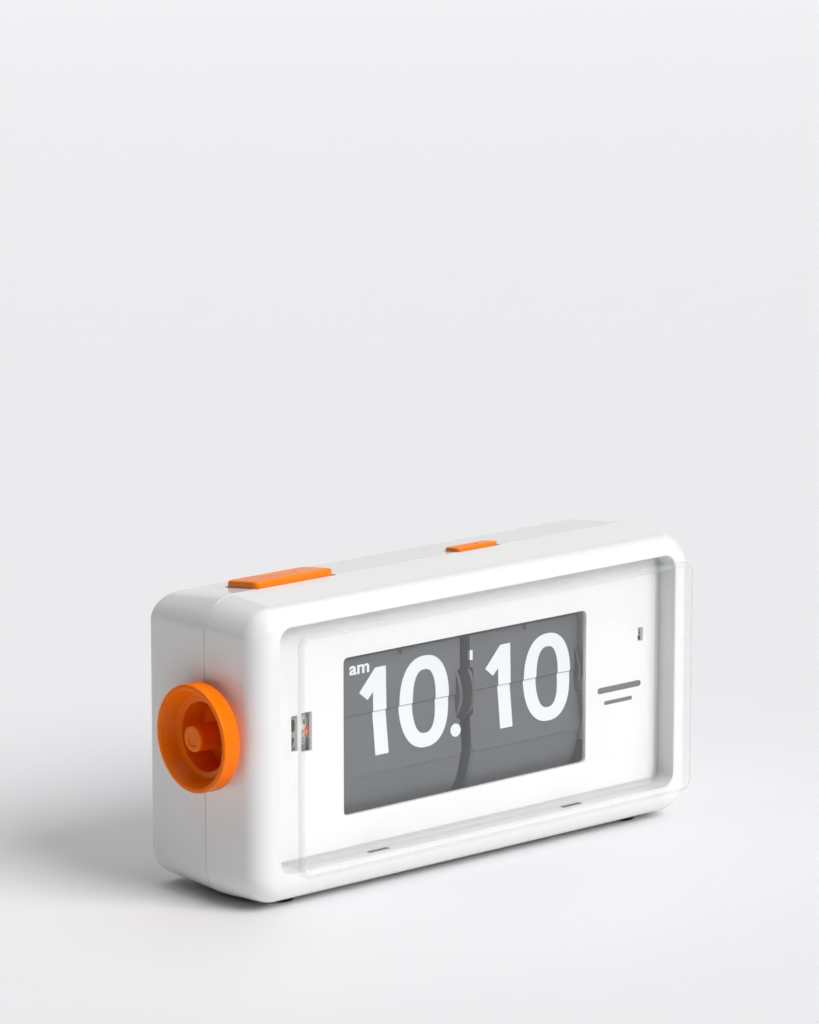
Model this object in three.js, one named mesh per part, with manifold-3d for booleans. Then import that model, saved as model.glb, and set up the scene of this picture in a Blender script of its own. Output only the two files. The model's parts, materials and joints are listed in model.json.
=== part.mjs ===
// Flip number clock: a quartz desk clock whose hours and minutes are printed on split leaves
// that fall forward behind a clear cover. Millimetres, +Z up, front face towards -Y.
// The origin is the middle of the outer box, on the plane that the feet stand on.

import * as THREE from "three";
import { mergeVertices } from "three/addons/utils/BufferGeometryUtils.js";
import Module from "manifold-3d";

const wasm = await Module();
wasm.setup();

// ---------------------------------------------------------------- driving dimensions

const GAP = 0.3; // clearance between pieces that touch
const RUNNING = 0.08; // radial clearance of a bore that turns on a shaft

// Case. The widest outline is at the parting plane, and both shells taper away from it.
const CASE_WIDTH = 185;
const CASE_HEIGHT = 95;
const CASE_DEPTH = 53;
const CASE_LIFT = 1; // lowest line of the case above the floor
const PARTING_Y = 24.2;
const CORNER_RADIUS = 11.6; // seen from the front
const FRONT_ROUND = 7.5;
const REAR_ROUND = 2.5;
const FRONT_TAPER = 0.07; // inset per mm of depth
const REAR_SIDE_TAPER = 0.02;
const REAR_TOP_TAPER = 0.13;
const REAR_BOTTOM_TAPER = 0.045;
const WALL = 2.2;
const CASE_CENTRE_Z = CASE_LIFT + CASE_HEIGHT / 2;

// Front opening, clear cover and dial plate.
const OPENING = { width: 164.6, bottom: 12, top: 88.9, radius: 4.3 };
const RETURN_WALL = 1.6;
const PLATE_FRONT_Y = 7.6;
const PLATE_THICKNESS = 1.5;
const LENS_PROUD = 9.3;
const LENS_WALL = 1.6;
const WINDOW = { width: 102.4, bottom: 24.9, top: 74, radius: 2.2 };
const CLIP_X = 40.6;
const CLIP_WIDTH = 8.6;
const CLIP_Y = 3.7;
const CLIP_DEPTH = 2;

// Main axis, which the leaf drums, the alarm drum and both knobs share.
const AXIS_Y = 21.3;
const AXIS_Z = 54;
const SHAFT_RADIUS = 1.5;
const SHAFT_END_X = 55.2;

// Split leaves.
const HOUR_LEAF = { left: -50.1, right: -0.6 };
const MINUTE_LEAF = { left: 3.5, right: 50.3 };
const LEAF_LENGTH = 18.4;
const LEAF_THICKNESS = 0.5;
const DRUM_RADIUS = 10; // circle of the leaf pivots
const DRUM_DISC = { radius: 11.6, width: 1.2 }; // end discs, which stand out past the leaves
const WAIST = { depth: 1.6, length: 6.8 }; // the leaf is narrower beside the end discs
const HOUR_LEAVES = 24;
const MINUTE_LEAVES = 60;
const NOTCH_WIDTH = 1.3; // at the free edge, where the retaining finger sits
const NOTCH_DEPTH = 1.8;
const LEAN = THREE.MathUtils.degToRad(5); // of the hanging leaves, towards the front

// Alarm setting wheel and drum, time setting knob.
const WHEEL = { radius: 16.8, proud: 8.4, bowl: 15.4, ledge: 13, bore: 10.8, barrel: 12.2 };
const WHEEL_LEDGE_X = -92.6;
const WHEEL_FLOOR_X = -86.2;
const BARREL_END_X = -84.8;
const SLEEVE_RADIUS = 3.6;
const ALARM_DRUM = { left: -72.6, right: -62.6, radius: 11 };
const TIME_KNOB = { radius: 4.1, faceX: -99.6, shoulderX: -85.9 };
const SCALE_SLOT = { left: -72, right: -69.6, bottom: 47.8, top: 59 };
const DRUM_SLOT = { left: -68.1, right: -63.9, bottom: 47, top: 59.4 };

// Buttons in the top edge of the rear shell.
const ALARM_BUTTON = { centreX: -56, width: 31.6, depth: 15.2, proud: 2.1, radius: 2.4 };
const LIGHT_BUTTON = { centreX: 19.2, width: 17.4, depth: 6.9, proud: 1.2, radius: 1.6 };
const BUTTON_FRONT_Y = PARTING_Y + 2 * GAP;
const BUTTON_BODY = 5;
const STEM = { radius: 1.8, length: 6.6 };
const SWITCH_HALF_WIDTH = 1.8;

// Drive. Tooth counts give the ratios: the leaf drums turn 24 to 1, the drive 3.6 to 1.
const MINUTE_GEAR = { teeth: 36, module: 0.5, x0: 50.9, x1: 52.2 };
const IDLER_GEAR = { teeth: 40, module: 0.5, x0: 50.9, x1: 52.2 };
const DRIVE_PINION = { teeth: 10, module: 0.5, x0: 50.9, x1: 52.2 };
const CARRY_PINION = { teeth: 12, module: 0.35, x0: 1.9, x1: 2.8 };
const CARRY_WHEEL = { teeth: 48, module: 0.35, x0: 1.9, x1: 2.8 };
const HOUR_PINION = { teeth: 7, module: 3 / 7, x0: -0.3, x1: 0.6 };
const HOUR_GEAR = { teeth: 42, module: 3 / 7, x0: -0.3, x1: 0.6 };
const MESH_CLEARANCE = 0.12; // added to every centre distance
const IDLER_DIRECTION = 1.06; // radians from +Y towards +Z, seen from +X
const DRIVE_DIRECTION = 1.22;

// Running indicator, seen through a small slot at the right of the dial plate.
const INDICATOR = { x: 68.4, z: 66.5, teeth: 32, pinionTeeth: 27, module: 0.55 };
const INDICATOR_SLOT = { left: 73, right: 75.4, bottom: 60.2, top: 64.7 };

// Battery: one D cell, upright at the right of the leaves.
const CELL = { x: 71.3, y: 30.1, radius: 17.1, length: 61.5, bottom: 16.5 };
const DOOR = { left: 53.9, right: 88.7, bottom: 15.8, top: 78.7, thickness: 2 };

const CARRY_HUB = 1; // radius of the hub that turns in the bracket
const IDLER_PIN = 1; // radius of the pins that the idler and the indicator turn on
const ARBOR = 0.8; // radius of the drive arbors

const FRAME_PLATE = 1.2;
const LEFT_PLATE_X = -52.1;
const RIGHT_PLATE_X = 52.6;
const FOOT = { radius: 4.5, x: 72, frontY: 14, rearY: 42 };
const SCREW = { x: 80, lowZ: 9.4, highZ: 85.6, headRadius: 2.9, shankRadius: 1.3,
  seatY: 47.3, topY: 49.5, tipY: 14.2, bossRadius: 4.2, bossFrontY: 40 };
const SOUND_SLOTS = { count: 5, left: -83, right: -61, lowest: 31, height: 2, pitch: 4 };
const BUZZER = { x: -72, z: 40, radius: 10, backY: 47 };
const SWITCH_BOARD = { left: -62, right: 26, front: 24, back: 36, bottom: 76.6, top: 77.8 };
const TRAVEL = 1.8; // of the push buttons
const BOARD = { left: -86, right: -57, front: 37, back: 38.6, bottom: 16, top: 66 };
const BOARD_POSTS = [{ x: -82.5, z: 19.5 }, { x: -60.5, z: 62.5 }];
const LAMP = { x: 1.4, y: 13.5, z: 84, radius: 1.4, halfLength: 5 };

// ---------------------------------------------------------------- materials

const finish = (color, roughness, metalness = 0, extra = {}) =>
  new THREE.MeshStandardMaterial({ color, roughness, metalness, ...extra });

const LOOKS = {
  whiteGloss: () => finish(0xf4f4f2, 0.2),
  clear: () => finish(0xffffff, 0.05, 0, { transparent: true, opacity: 0.25 }),
  orange: () => finish(0xff7a00, 0.35),
  leaf: () => finish(0x5c5e63, 0.55),
  darkPlastic: () => finish(0x2b2c2f, 0.6),
  whiteSatin: () => finish(0xeceae4, 0.5),
  steel: () => finish(0xb9bcc0, 0.35, 1),
  brass: () => finish(0xc9a552, 0.35, 1),
  rubber: () => finish(0x1d1d1e, 0.9),
  board: () => finish(0x2f5d3a, 0.6),
  cell: () => finish(0x9a9da2, 0.4, 0.4),
};

// ---------------------------------------------------------------- solids from geometry

function positionsOnly(geometry) {
  const bare = geometry.clone();
  bare.deleteAttribute("normal");
  bare.deleteAttribute("uv");
  return mergeVertices(bare, 1e-4);
}

function signedVolume(points, triangles) {
  const [a, b, c] = [new THREE.Vector3(), new THREE.Vector3(), new THREE.Vector3()];
  let volume = 0;
  for (let i = 0; i < triangles.length; i += 3) {
    a.fromArray(points, 3 * triangles[i]);
    b.fromArray(points, 3 * triangles[i + 1]);
    c.fromArray(points, 3 * triangles[i + 2]);
    volume += a.dot(b.cross(c)) / 6;
  }
  return volume;
}

// A closed geometry as a solid, with its faces turned outwards.
function solid(geometry) {
  const merged = positionsOnly(geometry);
  const vertProperties = new Float32Array(merged.attributes.position.array);
  const triVerts = new Uint32Array(merged.index.array);
  if (signedVolume(vertProperties, triVerts) < 0) triVerts.reverse();
  return new wasm.Manifold(new wasm.Mesh({ numProp: 3, vertProperties, triVerts }));
}

function geometryOf(made) {
  const { vertProperties, triVerts } = made.getMesh();
  const geometry = new THREE.BufferGeometry();
  geometry.setAttribute("position", new THREE.BufferAttribute(vertProperties, 3));
  geometry.setIndex(new THREE.BufferAttribute(triVerts, 1));
  geometry.computeVertexNormals();
  return geometry;
}

const joined = (first, ...others) => others.reduce((sum, other) => sum.add(other), first);
const cut = (first, ...others) => others.reduce((rest, other) => rest.subtract(other), first);

// ---------------------------------------------------------------- outlines and extrusions

function roundedRectangle(left, right, bottom, top, radius) {
  const shape = new THREE.Shape();
  const quarter = Math.PI / 2;
  shape.absarc(right - radius, bottom + radius, radius, -quarter, 0, false);
  shape.absarc(right - radius, top - radius, radius, 0, quarter, false);
  shape.absarc(left + radius, top - radius, radius, quarter, 2 * quarter, false);
  shape.absarc(left + radius, bottom + radius, radius, 2 * quarter, 3 * quarter, false);
  shape.closePath();
  return shape;
}

function polygon(points) {
  return new THREE.Shape(points.map(([u, v]) => new THREE.Vector2(u, v)));
}

function disc(radius, u = 0, v = 0) {
  return new THREE.Shape().absarc(u, v, radius, 0, 2 * Math.PI, false);
}

function extruded(shape, depth, curveSegments, steps = 1) {
  return new THREE.ExtrudeGeometry(shape, { depth, steps, curveSegments, bevelEnabled: false });
}

// The outline lies in the Y-Z plane.
function alongX(shape, x0, x1, curveSegments = 4) {
  const turn = new THREE.Matrix4().set(0, 0, 1, x0, 1, 0, 0, 0, 0, 1, 0, 0, 0, 0, 0, 1);
  return solid(extruded(shape, x1 - x0, curveSegments).applyMatrix4(turn));
}

// The outline lies in the X-Z plane.
function alongY(shape, y0, y1, curveSegments = 4) {
  const geometry = extruded(shape, y1 - y0, curveSegments);
  return solid(geometry.rotateX(Math.PI / 2).translate(0, y1, 0));
}

// The outline lies in the X-Y plane.
function alongZ(shape, z0, z1, curveSegments = 4) {
  return solid(extruded(shape, z1 - z0, curveSegments).translate(0, 0, z0));
}

function block(x0, x1, y0, y1, z0, z1) {
  const geometry = new THREE.BoxGeometry(x1 - x0, y1 - y0, z1 - z0);
  return solid(geometry.translate((x0 + x1) / 2, (y0 + y1) / 2, (z0 + z1) / 2));
}

// A profile of [radius, x] points turned about the X axis.
function turnedAboutX(profile, segments = 24) {
  const points = profile.map(([radius, x]) => new THREE.Vector2(radius, x));
  return solid(new THREE.LatheGeometry(points, segments).rotateZ(-Math.PI / 2));
}

// A round bar or hole of the given radius about the X axis.
function rod(radius, x0, x1, segments = 24) {
  return turnedAboutX([[0, x0], [radius, x0], [radius, x1], [0, x1]], segments);
}

// ---------------------------------------------------------------- assembly helpers

const clock = new THREE.Group();
clock.position.set(WHEEL.proud / 2, -(CASE_DEPTH - LENS_PROUD) / 2, 0);

function place(parent, name, made, look) {
  const mesh = new THREE.Mesh(geometryOf(made), LOOKS[look]());
  mesh.name = name;
  parent.add(mesh);
  return mesh;
}

function group(x, y, z, parent = clock) {
  const made = new THREE.Group();
  made.position.set(x, y, z);
  parent.add(made);
  return made;
}

// ---------------------------------------------------------------- case shells

const rounding = (radius, distance) =>
  distance >= radius ? 0 : radius - Math.sqrt(radius ** 2 - (radius - distance) ** 2);

// How far the outer surface lies inside the parting outline at a given depth.
function caseInset(y) {
  if (y <= PARTING_Y) {
    const all = FRONT_TAPER * (PARTING_Y - y) + rounding(FRONT_ROUND, y);
    return { side: all, top: all, bottom: all };
  }
  const behind = y - PARTING_Y;
  const round = rounding(REAR_ROUND, CASE_DEPTH - y);
  return {
    side: REAR_SIDE_TAPER * behind + round,
    top: REAR_TOP_TAPER * behind + round,
    bottom: REAR_BOTTOM_TAPER * behind + round,
  };
}

const caseTopZ = (y) => CASE_LIFT + CASE_HEIGHT - caseInset(y).top;
const caseBottomZ = (y) => CASE_LIFT + caseInset(y).bottom;

// A solid that follows the case outline through the given depths, moved in by an extra wall.
function caseBody(depths, extra = 0) {
  const [halfWidth, halfHeight] = [CASE_WIDTH / 2, CASE_HEIGHT / 2];
  const outline = roundedRectangle(-halfWidth, halfWidth, -halfHeight, halfHeight, CORNER_RADIUS);
  const geometry = extruded(outline, 1, 5, depths.length - 1);
  const position = geometry.attributes.position;
  const centreU = halfWidth - CORNER_RADIUS;
  const centreV = halfHeight - CORNER_RADIUS;
  for (let i = 0; i < position.count; i++) {
    const [u, v] = [position.getX(i), position.getY(i)];
    const y = depths[Math.round(position.getZ(i) * (depths.length - 1))];
    const normalU = (u - THREE.MathUtils.clamp(u, -centreU, centreU)) / CORNER_RADIUS;
    const normalV = (v - THREE.MathUtils.clamp(v, -centreV, centreV)) / CORNER_RADIUS;
    const inset = caseInset(y);
    const vertical = v > 0 ? inset.top : inset.bottom;
    const x = u - normalU * (inset.side + extra);
    const z = v - normalV * (vertical + extra);
    position.setXYZ(i, x, y, CASE_CENTRE_Z + z);
  }
  return solid(geometry);
}

function openingOutline(grow) {
  const half = OPENING.width / 2 + grow;
  const { bottom, top, radius } = OPENING;
  return roundedRectangle(-half, half, bottom - grow, top + grow, radius + grow);
}

function clipSlots(grow) {
  const slots = [];
  for (const side of [-1, 1]) {
    const x0 = side * CLIP_X - CLIP_WIDTH / 2 - grow;
    const x1 = side * CLIP_X + CLIP_WIDTH / 2 + grow;
    const [y0, y1] = [CLIP_Y - CLIP_DEPTH / 2 - grow, CLIP_Y + CLIP_DEPTH / 2 + grow];
    const reach = RETURN_WALL * 0.7 + grow;
    slots.push(block(x0, x1, y0, y1, OPENING.bottom - reach, OPENING.bottom + 1));
    slots.push(block(x0, x1, y0, y1, OPENING.top - 1, OPENING.top + reach));
  }
  return slots;
}

const wheelHole = () =>
  turnedAboutX([[0, -CASE_WIDTH], [WHEEL.barrel + 0.5, -CASE_WIDTH],
    [WHEEL.barrel + 0.5, -CASE_WIDTH / 2 + 8], [0, -CASE_WIDTH / 2 + 8]], 32)
    .translate([0, AXIS_Y, AXIS_Z]);

function frontShell() {
  const quarter = [0, 1, 2, 3, 4, 5].map((k) => FRONT_ROUND * (1 - Math.cos((k * Math.PI) / 10)));
  const outer = caseBody([...quarter, FRONT_ROUND, PARTING_Y]);
  const inner = caseBody([WALL + 1.4, FRONT_ROUND, PARTING_Y + 1], WALL);
  const collarBack = PLATE_FRONT_Y - GAP;
  const collar = alongY(openingOutline(RETURN_WALL), 1.5, collarBack);
  const opening = alongY(openingOutline(0), -1, PARTING_Y + 2);
  const plateSpace = alongY(openingOutline(RETURN_WALL + GAP), collarBack, PARTING_Y + 2);
  const posts = [];
  for (const side of [-1, 1]) {
    const x = side * SCREW.x;
    const [y0, y1] = [PLATE_FRONT_Y + PLATE_THICKNESS + GAP, PARTING_Y - GAP];
    posts.push(block(x - 3, x + 3, y0, y1, caseBottomZ(y0) + 0.8, SCREW.lowZ + 2.8));
    posts.push(block(x - 3, x + 3, y0, y1, SCREW.highZ - 2.8, caseTopZ(y0) - 0.8));
  }
  const holes = screwPlaces().map(({ x, z }) =>
    alongY(disc(SCREW.shankRadius + GAP, x, z), PARTING_Y - 12, PARTING_Y + 1, 4));
  const frontWall = cut(outer, inner, plateSpace);
  const hollow = cut(joined(frontWall, cut(collar, opening), ...posts), ...holes);
  return cut(hollow, opening.intersect(alongY(openingOutline(0), -1, collarBack + 0.01)),
    ...clipSlots(GAP), wheelHole());
}

function screwPlaces() {
  const places = [];
  for (const [side, sideName] of [[-1, "left"], [1, "right"]])
    for (const [z, level] of [[SCREW.lowZ, "lower"], [SCREW.highZ, "upper"]])
      places.push({ x: side * SCREW.x, z, name: `case_screw_${level}_${sideName}` });
  return places;
}

function buttonOutline(button, grow) {
  const half = button.width / 2 + grow;
  const front = BUTTON_FRONT_Y - grow;
  const back = BUTTON_FRONT_Y + button.depth + grow;
  return roundedRectangle(button.centreX - half, button.centreX + half, front, back,
    button.radius + grow);
}

// The hole is open towards the parting plane, where the front shell closes it.
function buttonHole(button) {
  const half = button.width / 2 + GAP;
  const [z0, z1] = [CASE_HEIGHT - 12, CASE_HEIGHT + 6];
  return joined(alongZ(buttonOutline(button, GAP), z0, z1, 3),
    block(button.centreX - half, button.centreX + half, PARTING_Y, BUTTON_FRONT_Y + button.radius,
      z0, z1));
}

function rearShell() {
  const start = PARTING_Y + GAP;
  const round = [0.6, 1.4, 2.5].map((d) => CASE_DEPTH - REAR_ROUND + d);
  const outer = caseBody([start, CASE_DEPTH - REAR_ROUND, ...round]);
  const inner = caseBody([start - 1, CASE_DEPTH - WALL], WALL);
  const bosses = screwPlaces().map(({ x, z }) =>
    alongY(disc(SCREW.bossRadius, x, z), SCREW.bossFrontY, CASE_DEPTH - 1, 4));
  const wellFloorY = SCREW.seatY - 1.3;
  const wells = screwPlaces().map(({ x, z }) =>
    joined(alongY(disc(SCREW.headRadius + GAP, x, z), wellFloorY, CASE_DEPTH + 1, 6),
      alongY(disc(SCREW.shankRadius + GAP, x, z), SCREW.bossFrontY - 2, wellFloorY + 1, 4)));
  const boardPosts = BOARD_POSTS.map(({ x, z }) =>
    alongY(disc(2.2, x, z), BOARD.back + GAP, CASE_DEPTH - 1, 4));
  const buttonHoles = [ALARM_BUTTON, LIGHT_BUTTON].map(buttonHole);
  const door = block(DOOR.left - GAP, DOOR.right + GAP, CASE_DEPTH - WALL - 1, CASE_DEPTH + 1,
    DOOR.bottom - GAP, DOOR.top + GAP);
  const soundSlots = [];
  for (let k = 0; k < SOUND_SLOTS.count; k++) {
    const low = SOUND_SLOTS.lowest + k * SOUND_SLOTS.pitch;
    const { left, right, height } = SOUND_SLOTS;
    soundSlots.push(alongY(roundedRectangle(left, right, low, low + height, 0.8),
      CASE_DEPTH - WALL - 1, CASE_DEPTH + 1, 2));
  }
  return cut(joined(cut(outer, inner), ...bosses, ...boardPosts), ...wells, ...buttonHoles, door,
    ...soundSlots, wheelHole());
}

place(clock, "front_shell", frontShell(), "whiteGloss");
place(clock, "rear_shell", rearShell(), "whiteGloss");

for (const { x, z, name } of screwPlaces()) {
  const head = alongY(disc(SCREW.headRadius, x, z), SCREW.seatY, SCREW.topY, 6);
  const shank = alongY(disc(SCREW.shankRadius, x, z), SCREW.tipY, SCREW.seatY + 0.1, 4);
  place(clock, name, joined(head, shank), "steel");
}

for (const [side, sideName] of [[-1, "left"], [1, "right"]])
  for (const [y, end] of [[FOOT.frontY, "front"], [FOOT.rearY, "rear"]]) {
    const underside = Math.min(caseBottomZ(y - FOOT.radius), caseBottomZ(y + FOOT.radius));
    const made = alongZ(disc(FOOT.radius, side * FOOT.x, y), 0, underside - 0.2, 5);
    place(clock, `foot_${end}_${sideName}`, made, "rubber");
  }

// ---------------------------------------------------------------- clear cover

function frontLens() {
  const shape = (inset) => openingOutline(-GAP - inset);
  const backY = PLATE_FRONT_Y - GAP;
  const bevel = 1;
  const skirt = alongY(shape(0), -LENS_PROUD + bevel, backY);
  const face = alongY(shape(bevel * 0.6), -LENS_PROUD, -LENS_PROUD + bevel + 0.01);
  const hollow = alongY(shape(LENS_WALL), -LENS_PROUD + LENS_WALL, backY + 1);
  const clips = clipSlots(0).map((clip) => cut(clip, alongY(shape(0.5), -1, backY + 1)));
  return joined(cut(joined(skirt, face), hollow), ...clips);
}

place(clock, "front_lens", frontLens(), "clear");

// ---------------------------------------------------------------- dial plate

function slotCut({ left, right, bottom, top }) {
  return block(left, right, PLATE_FRONT_Y - 1, PLATE_FRONT_Y + PLATE_THICKNESS + 1, bottom, top);
}

function dialPlate() {
  const back = PLATE_FRONT_Y + PLATE_THICKNESS;
  const sheet = alongY(openingOutline(RETURN_WALL), PLATE_FRONT_Y, back);
  const half = WINDOW.width / 2;
  const window = alongY(
    roundedRectangle(-half, half, WINDOW.bottom, WINDOW.top, WINDOW.radius),
    PLATE_FRONT_Y - 1, back + 1, 4);
  return cut(sheet, window, slotCut(SCALE_SLOT), slotCut(DRUM_SLOT), slotCut(INDICATOR_SLOT));
}

place(clock, "dial_plate", dialPlate(), "whiteGloss");

const POINTER = { halfHeight: 3.3, tipX: -65.7, baseX: -62.9, z: AXIS_Z - 1.3, thickness: 0.6 };
const pointerY = PLATE_FRONT_Y + PLATE_THICKNESS + GAP;
const pointerOutline = polygon([
  [POINTER.tipX, POINTER.z],
  [POINTER.baseX, POINTER.z - POINTER.halfHeight],
  [POINTER.baseX, POINTER.z + POINTER.halfHeight],
]);
place(clock, "alarm_pointer",
  alongY(pointerOutline, pointerY, pointerY + POINTER.thickness), "orange");

// ---------------------------------------------------------------- gears

// Teeth with straight flanks, one of them centred on the phase angle.
function gearOutline({ teeth, module }, phase) {
  const pitchRadius = (teeth * module) / 2;
  const [root, tip] = [pitchRadius - 1.15 * module, pitchRadius + 0.8 * module];
  const pitchAngle = (2 * Math.PI) / teeth;
  const [atRoot, atTip] = [0.27 * pitchAngle, 0.11 * pitchAngle];
  const points = [];
  for (let k = 0; k < teeth; k++) {
    const middle = phase + k * pitchAngle;
    for (const [radius, offset] of [[root, -atRoot], [tip, -atTip], [tip, atTip], [root, atRoot]])
      points.push([radius * Math.cos(middle + offset), radius * Math.sin(middle + offset)]);
  }
  return polygon(points);
}

// The phase that puts a gap of the second gear over the tooth row of the first,
// where the second lies in the given direction from the first.
function matingPhase(first, phase, second, direction) {
  const pitchAngle = (2 * Math.PI) / first.teeth;
  const ahead = phase - direction;
  const nearest = ahead - pitchAngle * Math.round(ahead / pitchAngle);
  return direction + Math.PI - (nearest * first.teeth) / second.teeth + Math.PI / second.teeth;
}

const centreDistance = (first, second) =>
  (first.teeth * first.module) / 2 + (second.teeth * second.module) / 2 + MESH_CLEARANCE;

function gearBody(gear, phase, bore) {
  const teeth = alongX(gearOutline(gear, phase), gear.x0, gear.x1);
  return cut(teeth, rod(bore, gear.x0 - 1, gear.x1 + 1));
}

// ---------------------------------------------------------------- main axis

const mainAxis = group(0, AXIS_Y, AXIS_Z);

function alarmWheel() {
  const rimX = -CASE_WIDTH / 2 - WHEEL.proud;
  const innerFace = -CASE_WIDTH / 2 - GAP;
  const { radius, bowl, ledge, bore, barrel } = WHEEL;
  const clear = SHAFT_RADIUS + RUNNING;
  return turnedAboutX([
    [clear, WHEEL_FLOOR_X], [bore, WHEEL_FLOOR_X], [bore, WHEEL_LEDGE_X - 1.6],
    [ledge, WHEEL_LEDGE_X - 1.6], [bowl, rimX + 0.6], [bowl + 0.3, rimX], [radius - 0.6, rimX],
    [radius, rimX + 0.6], [radius, innerFace], [barrel, innerFace], [barrel, BARREL_END_X],
    [SLEEVE_RADIUS, BARREL_END_X], [SLEEVE_RADIUS, ALARM_DRUM.left + 2],
    [clear, ALARM_DRUM.left + 2], [clear, WHEEL_FLOOR_X],
  ], 36);
}

function alarmDrum() {
  const { left, right, radius } = ALARM_DRUM;
  return turnedAboutX([
    [SLEEVE_RADIUS + GAP, left], [radius, left], [radius, right], [radius - 1.2, right],
    [radius - 1.2, left + 1.4], [SLEEVE_RADIUS + GAP, left + 1.4], [SLEEVE_RADIUS + GAP, left],
  ], 32);
}

function timeKnob() {
  const { radius, faceX, shoulderX } = TIME_KNOB;
  return turnedAboutX([
    [0, faceX], [radius - 0.4, faceX], [radius, faceX + 0.4], [radius, shoulderX - 1],
    [SHAFT_RADIUS, shoulderX - 1], [SHAFT_RADIUS, SHAFT_END_X], [0, SHAFT_END_X],
  ]);
}

place(mainAxis, "alarm_wheel", alarmWheel(), "orange");
place(mainAxis, "alarm_drum", alarmDrum(), "whiteSatin");
place(mainAxis, "time_knob", timeKnob(), "orange");

const DRUM_BORE = SHAFT_RADIUS + RUNNING;
const DRUM_CORE = 4;

// A spool: two discs that carry the leaf pivots, on a hollow core.
function leafDrum({ left, right }) {
  const { radius, width } = DRUM_DISC;
  return turnedAboutX([
    [DRUM_BORE, left], [radius, left], [radius, left + width], [DRUM_CORE, left + width],
    [DRUM_CORE, right - width], [radius, right - width], [radius, right], [DRUM_BORE, right],
    [DRUM_BORE, left],
  ], 32);
}

place(mainAxis, "hour_drum", leafDrum(HOUR_LEAF), "darkPlastic");
place(mainAxis, "minute_drum", leafDrum(MINUTE_LEAF), "darkPlastic");

const carryDirection = 0; // the carry axis lies straight behind the main axis
const minutePhase = IDLER_DIRECTION;
const idlerPhase = matingPhase(MINUTE_GEAR, minutePhase, IDLER_GEAR, IDLER_DIRECTION);
const drivePhase = matingPhase(IDLER_GEAR, idlerPhase, DRIVE_PINION, DRIVE_DIRECTION);
const carryPhase = matingPhase(CARRY_PINION, carryDirection, CARRY_WHEEL, carryDirection);
const hourPinionPhase = Math.PI; // a tooth that points at the main axis
const hourPhase = matingPhase(HOUR_PINION, hourPinionPhase, HOUR_GEAR, Math.PI);

place(mainAxis, "minute_drum_gear", gearBody(MINUTE_GEAR, minutePhase, DRUM_BORE), "brass");
place(mainAxis, "carry_pinion", gearBody(CARRY_PINION, carryDirection, DRUM_BORE), "brass");
place(mainAxis, "hour_drum_gear", gearBody(HOUR_GEAR, hourPhase, DRUM_BORE), "brass");

const carryY = AXIS_Y + centreDistance(CARRY_PINION, CARRY_WHEEL);
const carryAxis = group(0, carryY, AXIS_Z);
const carryHub = rod(CARRY_HUB, HOUR_PINION.x0, CARRY_WHEEL.x1);
place(carryAxis, "carry_gear", joined(
  alongX(gearOutline(CARRY_WHEEL, carryPhase), CARRY_WHEEL.x0, CARRY_WHEEL.x1),
  alongX(gearOutline(HOUR_PINION, hourPinionPhase), HOUR_PINION.x0, HOUR_PINION.x1),
  carryHub,
), "whiteSatin");

const idlerDistance = centreDistance(MINUTE_GEAR, IDLER_GEAR);
const idlerY = AXIS_Y + idlerDistance * Math.cos(IDLER_DIRECTION);
const idlerZ = AXIS_Z + idlerDistance * Math.sin(IDLER_DIRECTION);
const idlerAxis = group(0, idlerY, idlerZ);
place(idlerAxis, "idler_gear", gearBody(IDLER_GEAR, idlerPhase, IDLER_PIN + RUNNING), "brass");

const driveDistance = centreDistance(IDLER_GEAR, DRIVE_PINION);
const driveY = idlerY + driveDistance * Math.cos(DRIVE_DIRECTION);
const driveZ = idlerZ + driveDistance * Math.sin(DRIVE_DIRECTION);
const driveAxis = group(0, driveY, driveZ);
place(driveAxis, "drive_pinion", joined(
  alongX(gearOutline(DRIVE_PINION, drivePhase), DRIVE_PINION.x0, DRIVE_PINION.x1),
  rod(ARBOR, DRIVE_PINION.x1 - 0.1, 58),
), "brass");

// ---------------------------------------------------------------- split leaves

const HINGE_Y = AXIS_Y - DRUM_RADIUS;
const STACK_BEHIND = 0.75; // front of the stacks behind the falling leaf's own plane
const STACK_BACK_Y = AXIS_Y + DRUM_RADIUS + 0.4;

// The falling leaf hinges on its lower edge, at the origin of its group.
function fallingLeaf({ left, right }) {
  const half = (right - left) / 2;
  const waist = half - WAIST.depth;
  const notch = NOTCH_WIDTH / 2;
  const [low, chamfer, top] = [0.35, 1.5, LEAF_LENGTH];
  const rightSide = [
    [waist, low], [waist, WAIST.length], [half, WAIST.length + 1], [half, top - chamfer],
    [half - chamfer, top], [notch, top], [notch, top - NOTCH_DEPTH],
  ];
  const leftSide = rightSide.map(([x, z]) => [-x, z]).reverse();
  return alongY(polygon([...rightSide, ...leftSide]), -LEAF_THICKNESS / 2, LEAF_THICKNESS / 2);
}

// Free ends of the leaves that hang from the front and the underside of a drum.
function hangingTips(count) {
  const tips = [];
  for (let k = 0; k <= count / 4; k++) {
    const angle = (2 * Math.PI * k) / count;
    const lean = LEAN * (1 - angle / Math.PI);
    const pivotY = AXIS_Y - DRUM_RADIUS * Math.cos(angle) + STACK_BEHIND;
    const pivotZ = AXIS_Z - DRUM_RADIUS * Math.sin(angle) - 0.8;
    tips.push([pivotY - LEAF_LENGTH * Math.sin(lean), pivotZ - LEAF_LENGTH * Math.cos(lean)]);
  }
  return tips;
}

// Room for the drum inside a stack of leaves, with its two end discs.
function drumSpace({ left, right }) {
  const clear = DRUM_DISC.radius + GAP;
  const inside = DRUM_DISC.width + GAP;
  const space = joined(rod(DRUM_RADIUS - 0.4, left - 1, right + 1),
    rod(clear, left - 1, left + inside, 32), rod(clear, right - inside, right + 1, 32));
  return space.translate([0, AXIS_Y, AXIS_Z]);
}

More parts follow.
